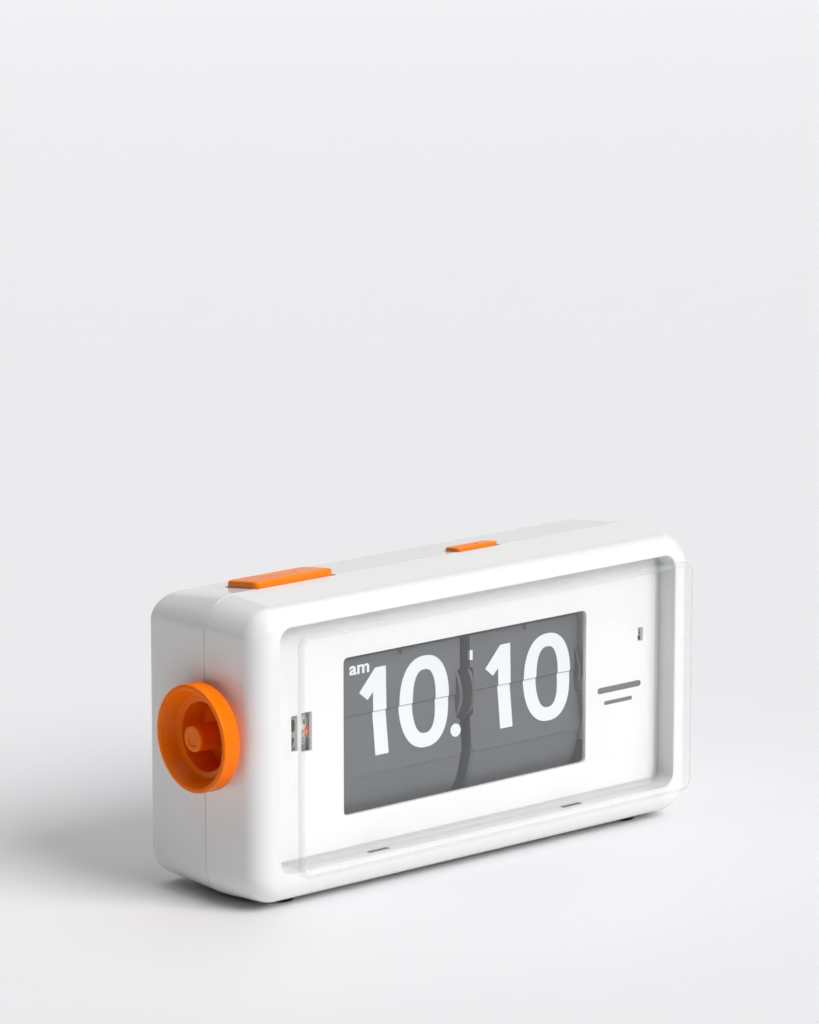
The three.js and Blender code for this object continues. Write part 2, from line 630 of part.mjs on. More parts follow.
// The leaves already shown: a block of hanging leaves whose free ends step back like shingles.
function hangingLeaves(count, span) {
  const top = AXIS_Z - 0.8;
  const outline = [[HINGE_Y + STACK_BEHIND, top]];
  const tips = hangingTips(count);
  tips.forEach(([y, z], k) => {
    outline.push([y, z]);
    if (k + 1 < tips.length) outline.push([(y + tips[k + 1][0]) / 2 + 0.35, z + 0.15]);
  });
  const [, lastZ] = tips[tips.length - 1];
  outline.push([STACK_BACK_Y, lastZ + 1.5], [STACK_BACK_Y, top]);
  return cut(alongX(polygon(outline), span.left, span.right), drumSpace(span));
}

// The leaves still to come: a block that stands behind the falling leaf.
function standingLeaves(span) {
  const front = HINGE_Y + STACK_BEHIND;
  const bottom = AXIS_Z + 0.5;
  const top = AXIS_Z + LEAF_LENGTH;
  const outline = polygon([
    [front, bottom], [front, top], [front + 3, top + 2.2], [front + 9, top + 3.6],
    [front + 14, top + 1.2], [STACK_BACK_Y + 2, AXIS_Z + 9], [STACK_BACK_Y, bottom],
  ]);
  const middle = (span.left + span.right) / 2;
  const fingerSpace = block(middle - NOTCH_WIDTH / 2, middle + NOTCH_WIDTH / 2,
    HINGE_Y, front + 1.2, top - NOTCH_DEPTH, top + 3);
  return cut(alongX(outline, span.left, span.right), fingerSpace, drumSpace(span));
}

// A springy finger that reaches down in front of the standing leaves.
const FINGER = { width: 0.7, thickness: 0.5, top: 80, backY: 22 };
function retainingFinger(middle) {
  const tip = AXIS_Z + LEAF_LENGTH - NOTCH_DEPTH + 0.4;
  const front = HINGE_Y + 0.1;
  const { width, thickness, top, backY } = FINGER;
  const arm = polygon([
    [front, tip], [front + thickness, tip], [front + thickness, top - thickness],
    [backY, top - thickness], [backY, top], [front, top],
  ]);
  return alongX(arm, middle - width / 2, middle + width / 2);
}

const LEAF_SETS = [
  { name: "hour", count: HOUR_LEAVES, span: HOUR_LEAF },
  { name: "minute", count: MINUTE_LEAVES, span: MINUTE_LEAF },
];
for (const { name, count, span } of LEAF_SETS) {
  const middle = (span.left + span.right) / 2;
  const hinge = group(middle, HINGE_Y, AXIS_Z);
  place(hinge, `${name}_falling_leaf`, fallingLeaf(span), "leaf");
  place(clock, `${name}_leaves_hanging`, hangingLeaves(count, span), "leaf");
  place(clock, `${name}_leaves_standing`, standingLeaves(span), "leaf");
  place(clock, `${name}_retaining_finger`, retainingFinger(middle), "darkPlastic");
}

// ---------------------------------------------------------------- frame

const FRAME = { frontY: PLATE_FRONT_Y + PLATE_THICKNESS + GAP, backY: 45.4, bottom: 30, top: 84 };
const BAR_RADIUS = 1.6;
const BARS = [
  { name: "frame_bar_top", y: 20, z: 81.9 },
  { name: "frame_bar_rear_upper", y: 43.2, z: 73.4 },
  { name: "frame_bar_rear_lower", y: 43.2, z: 34 },
];
const barHoles = (x0, x1) =>
  joined(...BARS.map(({ y, z }) => rod(BAR_RADIUS + GAP, x0, x1, 12).translate([0, y, z])));

function framePlate(x) {
  const { frontY, backY, bottom, top } = FRAME;
  const sheet = alongX(roundedRectangle(frontY, backY, bottom, top, 3), x, x + FRAME_PLATE, 3);
  const axisHole = rod(DRUM_BORE, x - 1, x + FRAME_PLATE + 1).translate([0, AXIS_Y, AXIS_Z]);
  return cut(sheet, axisHole);
}

function leftFramePlate() {
  const { front, back, bottom, top } = SWITCH_BOARD;
  const slot = block(LEFT_PLATE_X - 1, LEFT_PLATE_X + FRAME_PLATE + 1, front - GAP, back + GAP,
    bottom - GAP, top + GAP);
  return cut(framePlate(LEFT_PLATE_X), slot);
}

function rightFramePlate() {
  const arborHole = rod(ARBOR + GAP, RIGHT_PLATE_X - 1, RIGHT_PLATE_X + FRAME_PLATE + 1, 12);
  const idlerPin = rod(IDLER_PIN, IDLER_GEAR.x0 - 0.2, RIGHT_PLATE_X + 0.1);
  const plate = cut(framePlate(RIGHT_PLATE_X), arborHole.translate([0, driveY, driveZ]));
  return joined(plate, idlerPin.translate([0, idlerY, idlerZ]));
}

place(clock, "frame_plate_left", leftFramePlate(), "whiteSatin");
place(clock, "frame_plate_right", rightFramePlate(), "whiteSatin");
for (const { name, y, z } of BARS) {
  const bar = rod(BAR_RADIUS, LEFT_PLATE_X + FRAME_PLATE + GAP, RIGHT_PLATE_X - GAP, 12);
  place(clock, name, bar.translate([0, y, z]), "steel");
}

// A bracket on the rear bars reaches between the two leaf sets and holds the carry gear.
const BRACKET = { x0: 0.95, x1: 1.55, front: 37, back: 46.2, bottom: 30.6, top: 76, arm: 2.2 };
function carryBracket() {
  const { x0, x1, front, back, bottom, top, arm } = BRACKET;
  const sheet = alongX(roundedRectangle(front, back, bottom, top, 2), x0, x1, 3);
  const reach = alongX(
    roundedRectangle(carryY - arm, front + 2, AXIS_Z - arm, AXIS_Z + arm, 1), x0, x1, 3);
  const hubHole = rod(CARRY_HUB + RUNNING, x0 - 1, x1 + 1).translate([0, carryY, AXIS_Z]);
  return cut(joined(sheet, reach), hubHole, barHoles(x0 - 1, x1 + 1));
}
place(clock, "carry_bracket", carryBracket(), "steel");

// ---------------------------------------------------------------- quartz drive and indicator

const indicatorGear = { teeth: INDICATOR.teeth, module: INDICATOR.module };
const indicatorPinion = { teeth: INDICATOR.pinionTeeth, module: INDICATOR.module };
const indicatorDistance = centreDistance(indicatorGear, indicatorPinion);
const indicatorY = PLATE_FRONT_Y + PLATE_THICKNESS + 0.5;
const INDICATOR_THICKNESS = 0.8;
const DRIVE_CASE = { left: 54.1, right: 75.4, front: 17, back: 44, bottom: 81.2, top: 90.4 };
const GEAR_UP = Math.PI / 2;

const turnedToY = (made) => made.rotate([0, 0, 90]);

function indicatorDisc() {
  const disk = alongX(gearOutline(indicatorGear, GEAR_UP), 0, INDICATOR_THICKNESS);
  return turnedToY(cut(disk, rod(IDLER_PIN + RUNNING, -1, 2)));
}

function indicatorDriver() {
  const phase = matingPhase(indicatorGear, GEAR_UP, indicatorPinion, GEAR_UP);
  const pinion = alongX(gearOutline(indicatorPinion, phase), 0, INDICATOR_THICKNESS);
  const arbor = rod(ARBOR, INDICATOR_THICKNESS - 0.1, 9);
  return turnedToY(joined(pinion, arbor));
}

const indicatorAxis = group(INDICATOR.x, indicatorY, INDICATOR.z);
const pinionAxis = group(INDICATOR.x, indicatorY, INDICATOR.z + indicatorDistance);
place(indicatorAxis, "indicator_disc", indicatorDisc(), "whiteSatin");
place(pinionAxis, "indicator_pinion", indicatorDriver(), "brass");

function quartzDrive() {
  const { left, right, front, back, bottom, top } = DRIVE_CASE;
  const caseBlock = alongX(roundedRectangle(front, back, bottom, top, 1.5), left, right, 2);
  const driveBore = rod(ARBOR + RUNNING, left - 1, left + 5).translate([0, driveY, driveZ]);
  const pinionBore = turnedToY(rod(ARBOR + RUNNING, -1, 4))
    .translate([INDICATOR.x, front, INDICATOR.z + indicatorDistance]);
  return cut(caseBlock, driveBore, pinionBore);
}
place(clock, "quartz_drive", quartzDrive(), "darkPlastic");

// ---------------------------------------------------------------- battery

const HOLDER = { left: 56.2, right: 87, back: 39.4, seat: 1.6, spineLeft: 62, spineRight: 81 };
const SPINE = { front: indicatorY + INDICATOR_THICKNESS + 0.5, thickness: 1.5 };
const cellTop = CELL.bottom + CELL.length;

// Two end seats for the cell, joined by a spine that also holds the indicator's pin.
function batteryHolder() {
  const { left, right, back, seat, spineLeft, spineRight } = HOLDER;
  const [low, high] = [CELL.bottom - 2.4, cellTop + 1.1];
  const lowSeat = block(left, right, FRAME.frontY, back, low - seat, low);
  const highSeat = block(left, right, SPINE.front, back, high, high + seat);
  const spine = block(spineLeft, spineRight, SPINE.front, SPINE.front + SPINE.thickness,
    low - seat, high + seat);
  const pin = turnedToY(rod(IDLER_PIN, indicatorY - 0.2, SPINE.front + 0.1))
    .translate([INDICATOR.x, 0, INDICATOR.z]);
  return joined(lowSeat, highSeat, spine, pin);
}

function batteryCell() {
  const [stud, shoulder] = [4.6, CELL.length - 1.6];
  const outline = [[0, 0], [CELL.radius - 0.8, 0], [CELL.radius, 0.8], [CELL.radius, shoulder - 0.8],
    [CELL.radius - 0.8, shoulder], [stud, shoulder], [stud, CELL.length], [0, CELL.length]];
  return turnedAboutX(outline).rotate([0, -90, 0]).translate([CELL.x, CELL.y, CELL.bottom]);
}

// A round wire coil that shrinks from one radius to another over its height.
function coil({ wire, turns, from, to, height, stepsPerTurn }) {
  class Helix extends THREE.Curve {
    getPoint(t, target = new THREE.Vector3()) {
      const angle = 2 * Math.PI * turns * t;
      const radius = from + (to - from) * t;
      return target.set(radius * Math.cos(angle), radius * Math.sin(angle), height * t);
    }
  }
  return solid(new THREE.ExtrudeGeometry(disc(wire), {
    extrudePath: new Helix(), steps: turns * stepsPerTurn, curveSegments: 2, bevelEnabled: false,
  }));
}

place(clock, "battery_holder", batteryHolder(), "darkPlastic");
place(clock, "battery_cell", batteryCell(), "cell");
const minusContact = coil({ wire: 0.25, turns: 3, from: 7, to: 4, height: 1, stepsPerTurn: 12 });
place(clock, "battery_contact_minus",
  minusContact.translate([CELL.x, CELL.y, CELL.bottom - 1.6]), "steel");
place(clock, "battery_contact_plus",
  block(CELL.x - 6, CELL.x + 6, CELL.y - 4, CELL.y + 4, cellTop + GAP, cellTop + 0.8), "steel");

// The door hinges on its lower outer edge.
function batteryDoor() {
  const { left, right, bottom, top, thickness } = DOOR;
  const height = top - bottom;
  const sheet = alongY(roundedRectangle(left, right, 0, height, 0.4), -thickness, 0, 1);
  const grips = [-9, -6, -3].map((fromTop) =>
    block(CELL.x - 6, CELL.x + 6, -0.6, 1, height + fromTop - 0.6, height + fromTop + 0.6));
  return cut(sheet, ...grips);
}
place(group(0, CASE_DEPTH, DOOR.bottom), "battery_door", batteryDoor(), "whiteGloss");

// ---------------------------------------------------------------- electronics

place(clock, "circuit_board",
  block(BOARD.left, BOARD.right, BOARD.front, BOARD.back, BOARD.bottom, BOARD.top), "board");
place(clock, "buzzer", alongY(disc(BUZZER.radius, BUZZER.x, BUZZER.z), BOARD.back + GAP,
  BUZZER.backY, 6), "darkPlastic");
place(clock, "switch_board", block(SWITCH_BOARD.left, SWITCH_BOARD.right, SWITCH_BOARD.front,
  SWITCH_BOARD.back, SWITCH_BOARD.bottom, SWITCH_BOARD.top), "board");
const lamp = rod(LAMP.radius, -LAMP.halfLength, LAMP.halfLength, 10);
place(clock, "lamp", lamp.translate([LAMP.x, LAMP.y, LAMP.z]), "whiteSatin");

// ---------------------------------------------------------------- push buttons

// The cap stands in its hole, with a flange below that keeps it in and a stem for the switch.
function pushButton(button, bottom) {
  const { centreX, width, depth, proud } = button;
  const back = BUTTON_FRONT_Y + depth;
  const top = caseTopZ(BUTTON_FRONT_Y) + proud;
  const fall = REAR_TOP_TAPER * (depth + 1);
  const aboveCap = alongX(polygon([
    [BUTTON_FRONT_Y - 1, top + REAR_TOP_TAPER], [back + 1, top - fall], [back + 1, top + 4],
    [BUTTON_FRONT_Y - 1, top + 4],
  ]), centreX - width, centreX + width);
  const cap = cut(alongZ(buttonOutline(button, 0), bottom, top + 0.1, 4), aboveCap);
  const half = width / 2 + 1.4;
  const flange = block(centreX - half, centreX + half, BUTTON_FRONT_Y + 1, back - 1, bottom,
    bottom + 1.2);
  const stem = alongZ(disc(STEM.radius, centreX, BUTTON_FRONT_Y + depth / 2),
    bottom - STEM.length, bottom + 0.1, 4);
  return joined(cap, flange, stem);
}

for (const [name, button] of [["alarm", ALARM_BUTTON], ["light", LIGHT_BUTTON]]) {
  const [x, y] = [button.centreX, BUTTON_FRONT_Y + button.depth / 2];
  const bottom = caseTopZ(BUTTON_FRONT_Y + button.depth) - BUTTON_BODY;
  const seat = SWITCH_BOARD.top + GAP;
  const wire = 0.22;
  const spring = coil({ wire, turns: 5, from: 3, to: 3, stepsPerTurn: 10,
    height: bottom - GAP - seat - 2 * wire });
  const halfWidth = SWITCH_HALF_WIDTH;
  place(clock, `${name}_button`, pushButton(button, bottom), "orange");
  place(clock, `${name}_button_spring`, spring.translate([x, y, seat + wire]), "steel");
  place(clock, `${name}_switch`, block(x - halfWidth, x + halfWidth, y - halfWidth, y + halfWidth,
    seat, bottom - STEM.length - TRAVEL - GAP), "darkPlastic");
}

export default clock;
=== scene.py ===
"""Looks for the flip number clock: glossy white case, clear cover, orange wheel and buttons, printed leaves.

Lengths are in millimetres in "case coordinates": x from the middle of the case to the right, y from the
front face towards the back, z up from the floor. at() turns them into the frame's metres.
"""

import json
import math

import bmesh
import bpy
from mathutils import Matrix, Vector


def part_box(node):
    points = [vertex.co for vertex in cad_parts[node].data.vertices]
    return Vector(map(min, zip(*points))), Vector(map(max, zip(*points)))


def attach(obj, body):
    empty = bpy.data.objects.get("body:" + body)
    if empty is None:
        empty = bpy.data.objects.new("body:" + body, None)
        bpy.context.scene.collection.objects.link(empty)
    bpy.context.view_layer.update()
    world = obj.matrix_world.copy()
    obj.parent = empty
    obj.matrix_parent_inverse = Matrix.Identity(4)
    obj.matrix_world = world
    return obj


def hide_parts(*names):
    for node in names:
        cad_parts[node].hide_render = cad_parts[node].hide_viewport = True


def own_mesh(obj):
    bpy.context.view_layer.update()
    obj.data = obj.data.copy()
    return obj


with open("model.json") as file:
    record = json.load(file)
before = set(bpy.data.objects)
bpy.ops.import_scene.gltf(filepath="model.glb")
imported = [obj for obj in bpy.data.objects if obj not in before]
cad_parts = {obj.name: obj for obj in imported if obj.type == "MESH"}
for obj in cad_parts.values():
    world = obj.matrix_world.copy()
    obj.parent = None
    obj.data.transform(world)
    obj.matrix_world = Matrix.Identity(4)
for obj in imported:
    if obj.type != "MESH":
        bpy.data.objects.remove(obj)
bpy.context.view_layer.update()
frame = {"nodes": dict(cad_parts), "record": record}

MM = 0.001
ROOT = "case"


class NodeBox:
    """The box of a CAD node, in case coordinates."""

    def __init__(self, node):
        low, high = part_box(node)
        self.x0, self.y0, self.z0 = to_case(low)
        self.x1, self.y1, self.z1 = to_case(high)
        self.x = (self.x0 + self.x1) / 2
        self.y = (self.y0 + self.y1) / 2
        self.z = (self.z0 + self.z1) / 2


front_low, front_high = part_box("front_shell")
CASE_X = (front_low[0] + front_high[0]) / 2 / MM
FRONT_Y = front_low[1] / MM


def to_case(point):
    """A point of the frame, in metres, as case coordinates."""
    return point[0] / MM - CASE_X, point[1] / MM - FRONT_Y, point[2] / MM


def at(x, y, z):
    """Case coordinates as a point of the frame, in metres."""
    return Vector((x + CASE_X, y + FRONT_Y, z)) * MM


FRONT = NodeBox("front_shell")
REAR = NodeBox("rear_shell")
LENS = NodeBox("front_lens")
PLATE = NodeBox("dial_plate")
WHEEL = NodeBox("alarm_wheel")
KNOB = NodeBox("time_knob")
ALARM_DRUM = NodeBox("alarm_drum")
POINTER = NodeBox("alarm_pointer")
DOOR = NodeBox("battery_door")
AXIS_Y, AXIS_Z = ALARM_DRUM.y, ALARM_DRUM.z

# Case shape: both shells taper away from the widest outline at the parting plane.
PARTING_Y = FRONT.y1
SEAM_CLOSED = 0.16  # how much of the gap between the shells the rear shell's edge takes up
CORNER_RADIUS = 11.6
FRONT_ROUND = 7.5
REAR_ROUND = 2.5
FRONT_TAPER = 0.07
REAR_TAPER = {"side": 0.02, "top": 0.13, "bottom": 0.045}
WALL = 2.2
FIT = 0.3  # gap between parts that meet, and the softening of their edges
BARREL_HOLE = 12.7  # radius of the hole in the left wall for the wheel's barrel
SCREW_HOLE = 3.2
SOUND_SLOTS = {"x0": -83, "x1": -61, "first": 31, "pitch": 4, "height": 2, "count": 5}
BUTTON_FLANGE = 1.4
OPENING = {"half": LENS.x1 + 0.3, "z0": PLATE.z0 + 1.6, "z1": PLATE.z1 - 1.6, "radius": 4.3}
WINDOW = {"x0": -51.2, "x1": 50.3, "z0": 23.8, "z1": 74.0, "radius": 1.6}
# Boxes (x0, x1, z0, z1) on the dial plate: the slots of the alarm scale, the alarm hour and the running
# indicator, and the two printed bars.
PLATE_SLOTS = ((-72, -69.6, 47.8, 59), (-68.1, -63.9, 47, 59.4), (73, 75.4, 60.2, 64.7))
PRINTED_BARS = ((55.4, 74.5, 45.3, 47.3), (58.3, 70.7, 41.3, 42.6))


# ---------------------------------------- materials


class Nodes:
    """A new material's node tree, with short calls for the few nodes that these materials use."""

    def __init__(self, name, **sockets):
        self.material = bpy.data.materials.new(name)
        self.material.use_nodes = True
        self.tree = self.material.node_tree
        self.shader = self.tree.nodes["Principled BSDF"]
        self.coordinates = self.tree.nodes.new("ShaderNodeTexCoord").outputs["Object"]
        for socket, value in sockets.items():
            self.shader.inputs[socket.replace("_", " ")].default_value = value

    def link(self, source, target):
        self.tree.links.new(source, target)

    def noise(self, scale, detail=2.0, stretch=None):
        node = self.tree.nodes.new("ShaderNodeTexNoise")
        node.inputs["Scale"].default_value = scale
        node.inputs["Detail"].default_value = detail
        source = self.coordinates
        if stretch:
            mapping = self.tree.nodes.new("ShaderNodeMapping")
            mapping.inputs["Scale"].default_value = stretch
            self.link(source, mapping.inputs["Vector"])
            source = mapping.outputs["Vector"]
        self.link(source, node.inputs["Vector"])
        return node.outputs["Fac"]

    def ramp(self, factor, low, high, start=0.3, end=0.7):
        node = self.tree.nodes.new("ShaderNodeValToRGB")
        first, last = node.color_ramp.elements
        first.position, first.color = start, low
        last.position, last.color = end, high
        self.link(factor, node.inputs["Fac"])
        return node.outputs["Color"]

    def spread(self, factor, low, high):
        node = self.tree.nodes.new("ShaderNodeMapRange")
        node.inputs["To Min"].default_value = low
        node.inputs["To Max"].default_value = high
        self.link(factor, node.inputs["Value"])
        return node.outputs["Result"]

    def bump(self, height, strength, distance):
        node = self.tree.nodes.new("ShaderNodeBump")
        node.inputs["Strength"].default_value = strength
        node.inputs["Distance"].default_value = distance
        self.link(height, node.inputs["Height"])
        self.link(node.outputs["Normal"], self.shader.inputs["Normal"])


def rgba(red, green, blue):
    return (red, green, blue, 1.0)


def plastic(name, colour, roughness, grain, bump=0.04, vary=0.02, **sockets):
    """Moulded plastic: faint colour drift, roughness that varies a little, and a fine moulded grain."""
    made = Nodes(name, **sockets)
    dark = rgba(*(c * (1 - vary) for c in colour))
    made.link(made.ramp(made.noise(30), dark, rgba(*colour)), made.shader.inputs["Base Color"])
    rough = made.spread(made.noise(140, 3), roughness * 0.85, roughness * 1.15)
    made.link(rough, made.shader.inputs["Roughness"])
    made.bump(made.noise(grain, 3), bump, 0.0002)
    return made.material


def metal(name, colour, roughness, stretch):
    """Rolled or turned metal, with fine lines along one direction."""
    made = Nodes(name, Metallic=1.0)
    lines = made.noise(900, 2, stretch)
    dark = rgba(*(c * 0.85 for c in colour))
    made.link(made.ramp(lines, dark, rgba(*colour)), made.shader.inputs["Base Color"])
    made.link(made.spread(lines, roughness * 0.8, roughness * 1.2), made.shader.inputs["Roughness"])
    made.bump(lines, 0.05, 0.0001)
    return made.material


WHITE = plastic("white_gloss", (0.88, 0.88, 0.87), 0.13, 260, bump=0.015, IOR=1.5)
DIAL_WHITE = plastic("dial_white", (0.9, 0.9, 0.89), 0.4, 500, bump=0.02)
ORANGE = plastic("orange", (1.0, 0.195, 0.0), 0.3, 900, bump=0.03, vary=0.05, Specular_IOR_Level=0.15)
BUTTON_ORANGE = plastic("button_orange", (1.0, 0.24, 0.0), 0.3, 900, bump=0.03, Specular_IOR_Level=0.4)
LEAF = plastic("leaf_grey", (0.098, 0.102, 0.112), 0.5, 1500, bump=0.08, vary=0.08)
PRINT = plastic("print_white", (0.84, 0.87, 0.9), 0.45, 1500, bump=0.05)
PRINT_GREY = plastic("print_grey", (0.13, 0.13, 0.14), 0.5, 1500)
INK = plastic("print_dark", (0.09, 0.09, 0.1), 0.5, 1500)
SCALE_INK = plastic("scale_brown", (0.2, 0.13, 0.11), 0.5, 1500)
DARK = plastic("dark_plastic", (0.035, 0.035, 0.04), 0.5, 700, vary=0.15)
DRUM_GREY = plastic("drum_grey", (0.075, 0.077, 0.083), 0.45, 700, vary=0.1)
IVORY = plastic("white_satin", (0.8, 0.79, 0.75), 0.45, 600)
RUBBER = plastic("rubber", (0.02, 0.02, 0.021), 0.85, 1200, bump=0.3, vary=0.3)
BOARD = plastic("board", (0.02, 0.1, 0.04), 0.4, 400, vary=0.4)
LABEL = plastic("cell_label", (0.03, 0.04, 0.06), 0.3, 300, vary=0.3)
STEEL = metal("steel", (0.6, 0.61, 0.62), 0.3, (1, 14, 14))
BRASS = metal("brass", (0.72, 0.5, 0.2), 0.28, (14, 1, 1))
CLEAR = plastic("clear_cover", (0.96, 0.98, 0.98), 0.03, 200, bump=0.004, Alpha=0.05, IOR=1.49)
# The cover's rounded edges are darker, greener and less clear: painted shade that stands in for the
# refraction and internal reflection the almost clear cover does not show.
EDGE_PAINTED_SHADE = plastic("clear_edge_painted_shade", (0.62, 0.68, 0.66), 0.06, 200, bump=0.004, Alpha=0.3, IOR=1.49)
SHADOW_LINE = plastic("gap_shadow", (0.05, 0.05, 0.05), 0.8, 300)


# ---------------------------------------- mesh helpers


def smooth_by_angle(mesh, degrees):
    mesh.shade_smooth()
    mesh.set_sharp_from_angle(angle=math.radians(degrees))


def add_mesh(name, points, faces, *materials, angle=30, in_case=True):
    """A mesh object from points in millimetres. Several materials are chosen per face later."""
    mesh = bpy.data.meshes.new(name)
    place = at if in_case else lambda x, y, z: Vector((x, y, z)) * MM
    mesh.from_pydata([place(*p) for p in points], [], faces)
    for material in materials:
        mesh.materials.append(material)
    tidy = bmesh.new()
    tidy.from_mesh(mesh)
    bmesh.ops.remove_doubles(tidy, verts=tidy.verts, dist=1e-7)
    bmesh.ops.recalc_face_normals(tidy, faces=tidy.faces)
    tidy.to_mesh(mesh)
    tidy.free()
    smooth_by_angle(mesh, angle)
    return link_mesh(name, mesh)


def finish_piece(made, body, slot, *nodes):
    """The piece rides on a body and stands for the CAD nodes named, which it hides. The slot argument is not
    used.
    """
    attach(made, body)
    if nodes:
        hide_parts(*nodes)
    return made


def weighted(made):
    """Large flat faces keep their own normal where they meet a rounding."""
    modifier = made.modifiers.new("normals", "WEIGHTED_NORMAL")
    modifier.keep_sharp = True
    modifier.weight = 100
    return made


def bridge(loops, closed=False, caps=False):
    """Points and faces of a skin through loops of equal length."""
    count = len(loops[0])
    points = [p for loop in loops for p in loop]
    faces = []
    rows = len(loops) if closed else len(loops) - 1
    for row in range(rows):
        here, there = row * count, (row + 1) % len(loops) * count
        for k in range(count):
            after = (k + 1) % count
            faces.append((here + k, here + after, there + after, there + k))
    if caps:
        faces.append(tuple(range(count)))
        faces.append(tuple(range(len(points) - count, len(points))))
    return points, faces


CORNER_STEPS = 14


def corner_normals(steps=CORNER_STEPS):
    """(which corner in x, which in z, outward normal) round a rounded rectangle."""
    made = []
    for quarter, (side, level) in enumerate([(1, 1), (-1, 1), (-1, -1), (1, -1)]):
        for k in range(steps + 1):
            angle = (quarter + k / steps) * math.pi / 2
            made.append((side, level, math.cos(angle), math.sin(angle)))
    return made


def rounded_loop(half, z0, z1, radius, y, steps=CORNER_STEPS, middle=0.0):
    """A rounded rectangle in the X-Z plane at depth y."""
    loop = []
    for side, level, nx, nz in corner_normals(steps):
        corner_z = z1 - radius if level > 0 else z0 + radius
        loop.append((middle + side * (half - radius) + nx * radius, y, corner_z + nz * radius))
    return loop


def lathe(profile, centre, steps=96, ribs=None):
    """A profile of (radius, x, rib depth share) turned about the X axis through centre (y, z).

    ribs is (count, depth): the radius then falls and rises that many times a turn."""
    loops = []
    for radius, x, share in profile:
        loop = []
        for k in range(steps):
            angle = 2 * math.pi * k / steps
            r = radius
            if ribs and share:
                count, depth = ribs
                r -= share * depth * (0.5 - 0.5 * math.cos(count * angle))
            loop.append((x, centre[0] + r * math.cos(angle), centre[1] + r * math.sin(angle)))
        loops.append(loop)
    return loops


def link_mesh(name, mesh):
    made = bpy.data.objects.new(name, mesh)
    bpy.context.scene.collection.objects.link(made)
    return made


def case_place(x, y, z, tilt=0.0):
    """Where a piece built at the origin goes, in millimetres. tilt turns it about the X axis."""
    return Matrix.Translation((x + CASE_X, y + FRONT_Y, z)) @ Matrix.Rotation(tilt, 4, "X")


def flat_piece(name, outlines, thickness, material, bevel=0.0, place=Matrix()):
    """A sheet cut from closed outlines of (u, v), the first the rim and the rest holes.

    Before place is applied the sheet stands in X-Z, with its front at y = 0 and its thickness behind."""
    curve = bpy.data.curves.new(name, "CURVE")
    curve.dimensions = "2D"
    curve.fill_mode = "BOTH"
    curve.extrude = thickness / 2 - bevel
    curve.bevel_depth = bevel
    curve.bevel_resolution = 2 if bevel else 0
    curve.offset = -bevel
    for outline in outlines:
        spline = curve.splines.new("POLY")
        spline.points.add(len(outline) - 1)
        for point, (u, v) in zip(spline.points, outline):
            point.co = (u, v, 0, 1)
        spline.use_cyclic_u = True
    holder = link_mesh(name, curve)
    mesh = bpy.data.meshes.new_from_object(holder.evaluated_get(bpy.context.evaluated_depsgraph_get()))
    bpy.data.objects.remove(holder)
    stand = Matrix.Translation((0, thickness / 2, 0)) @ Matrix.Rotation(math.pi / 2, 4, "X")
    mesh.transform(Matrix.Scale(MM, 4) @ place @ stand)
    mesh.materials.clear()
    mesh.materials.append(material)
    merge = bmesh.new()
    merge.from_mesh(mesh)
    bmesh.ops.remove_doubles(merge, verts=merge.verts, dist=1e-6)
    merge.to_mesh(mesh)
    merge.free()
    smooth_by_angle(mesh, 35)
    return link_mesh(name, mesh)


def rounded_outline(x0, x1, z0, z1, radius, steps=5):
    middle = (x0 + x1) / 2
    return [(x, z) for x, _, z in rounded_loop((x1 - x0) / 2, z0, z1, radius, 0, steps, middle)]


def circle_outline(x, z, radius, steps=32):
    turns = [2 * math.pi * k / steps for k in range(steps)]
    return [(x + radius * math.cos(t), z + radius * math.sin(t)) for t in turns]


def join(name, pieces):
    """Several objects as one mesh object."""
    whole = bmesh.new()
    materials = []
    for piece in pieces:
        for material in piece.data.materials:
            if material not in materials:
                materials.append(material)
        slots = [materials.index(m) for m in piece.data.materials]
        start = len(whole.faces)
        whole.from_mesh(piece.data)
        whole.faces.ensure_lookup_table()
        for face in whole.faces[start:]:
            face.material_index = slots[face.material_index] if slots else 0
    mesh = bpy.data.meshes.new(name)
    whole.to_mesh(mesh)
    whole.free()
    for material in materials:
        mesh.materials.append(material)
    for piece in pieces:
        bpy.data.objects.remove(piece)
    return link_mesh(name, mesh)


def cut_with(made, cutters):
    """Cuts closed meshes out of a piece."""
    for cutter in cutters:
        modifier = made.modifiers.new("cut", "BOOLEAN")
        modifier.object = cutter
        modifier.solver = "EXACT"
    mesh = bpy.data.meshes.new_from_object(made.evaluated_get(bpy.context.evaluated_depsgraph_get()))
    made.modifiers.clear()
    made.data = mesh
    smooth_by_angle(mesh, 30)
    for cutter in cutters:
        bpy.data.objects.remove(cutter)


# ---------------------------------------- case shells


def rounding(radius, distance):
    """How far a quarter round has come in at a distance from its end."""
    if distance >= radius:
        return 0.0
    return radius - math.sqrt(radius**2 - (radius - distance) ** 2)


def case_inset(y):
    """Inset of the case skin from the parting outline at depth y, on the sides, the top and the bottom."""
    if y <= PARTING_Y:
        inset = FRONT_TAPER * (PARTING_Y - y) + rounding(FRONT_ROUND, y)
        return dict.fromkeys(("side", "top", "bottom"), inset)
    round_in = rounding(REAR_ROUND, REAR.y1 - y)
    return {edge: taper * (y - PARTING_Y) + round_in for edge, taper in REAR_TAPER.items()}


HALF_WIDTH = (FRONT.x1 - FRONT.x0) / 2


def case_point(normal, y, across, upright):
    """The point at depth y under a corner normal, with its insets from the parting outline."""
    side, level, nx, nz = normal
    corner_x = side * (HALF_WIDTH - CORNER_RADIUS)
    corner_z = FRONT.z1 - CORNER_RADIUS if level > 0 else FRONT.z0 + CORNER_RADIUS
    return corner_x + nx * (CORNER_RADIUS - across), y, corner_z + nz * (CORNER_RADIUS - upright)


def case_loop(y, extra=0.0):
    inset = {edge: value + extra for edge, value in case_inset(y).items()}
    return [case_point(normal, y, inset["side"], inset["top" if normal[1] > 0 else "bottom"])
            for normal in corner_normals()]


def opening_loop(grow, y):
    return rounded_loop(OPENING["half"] + grow, OPENING["z0"] - grow, OPENING["z1"] + grow,
                        OPENING["radius"] + grow, y)


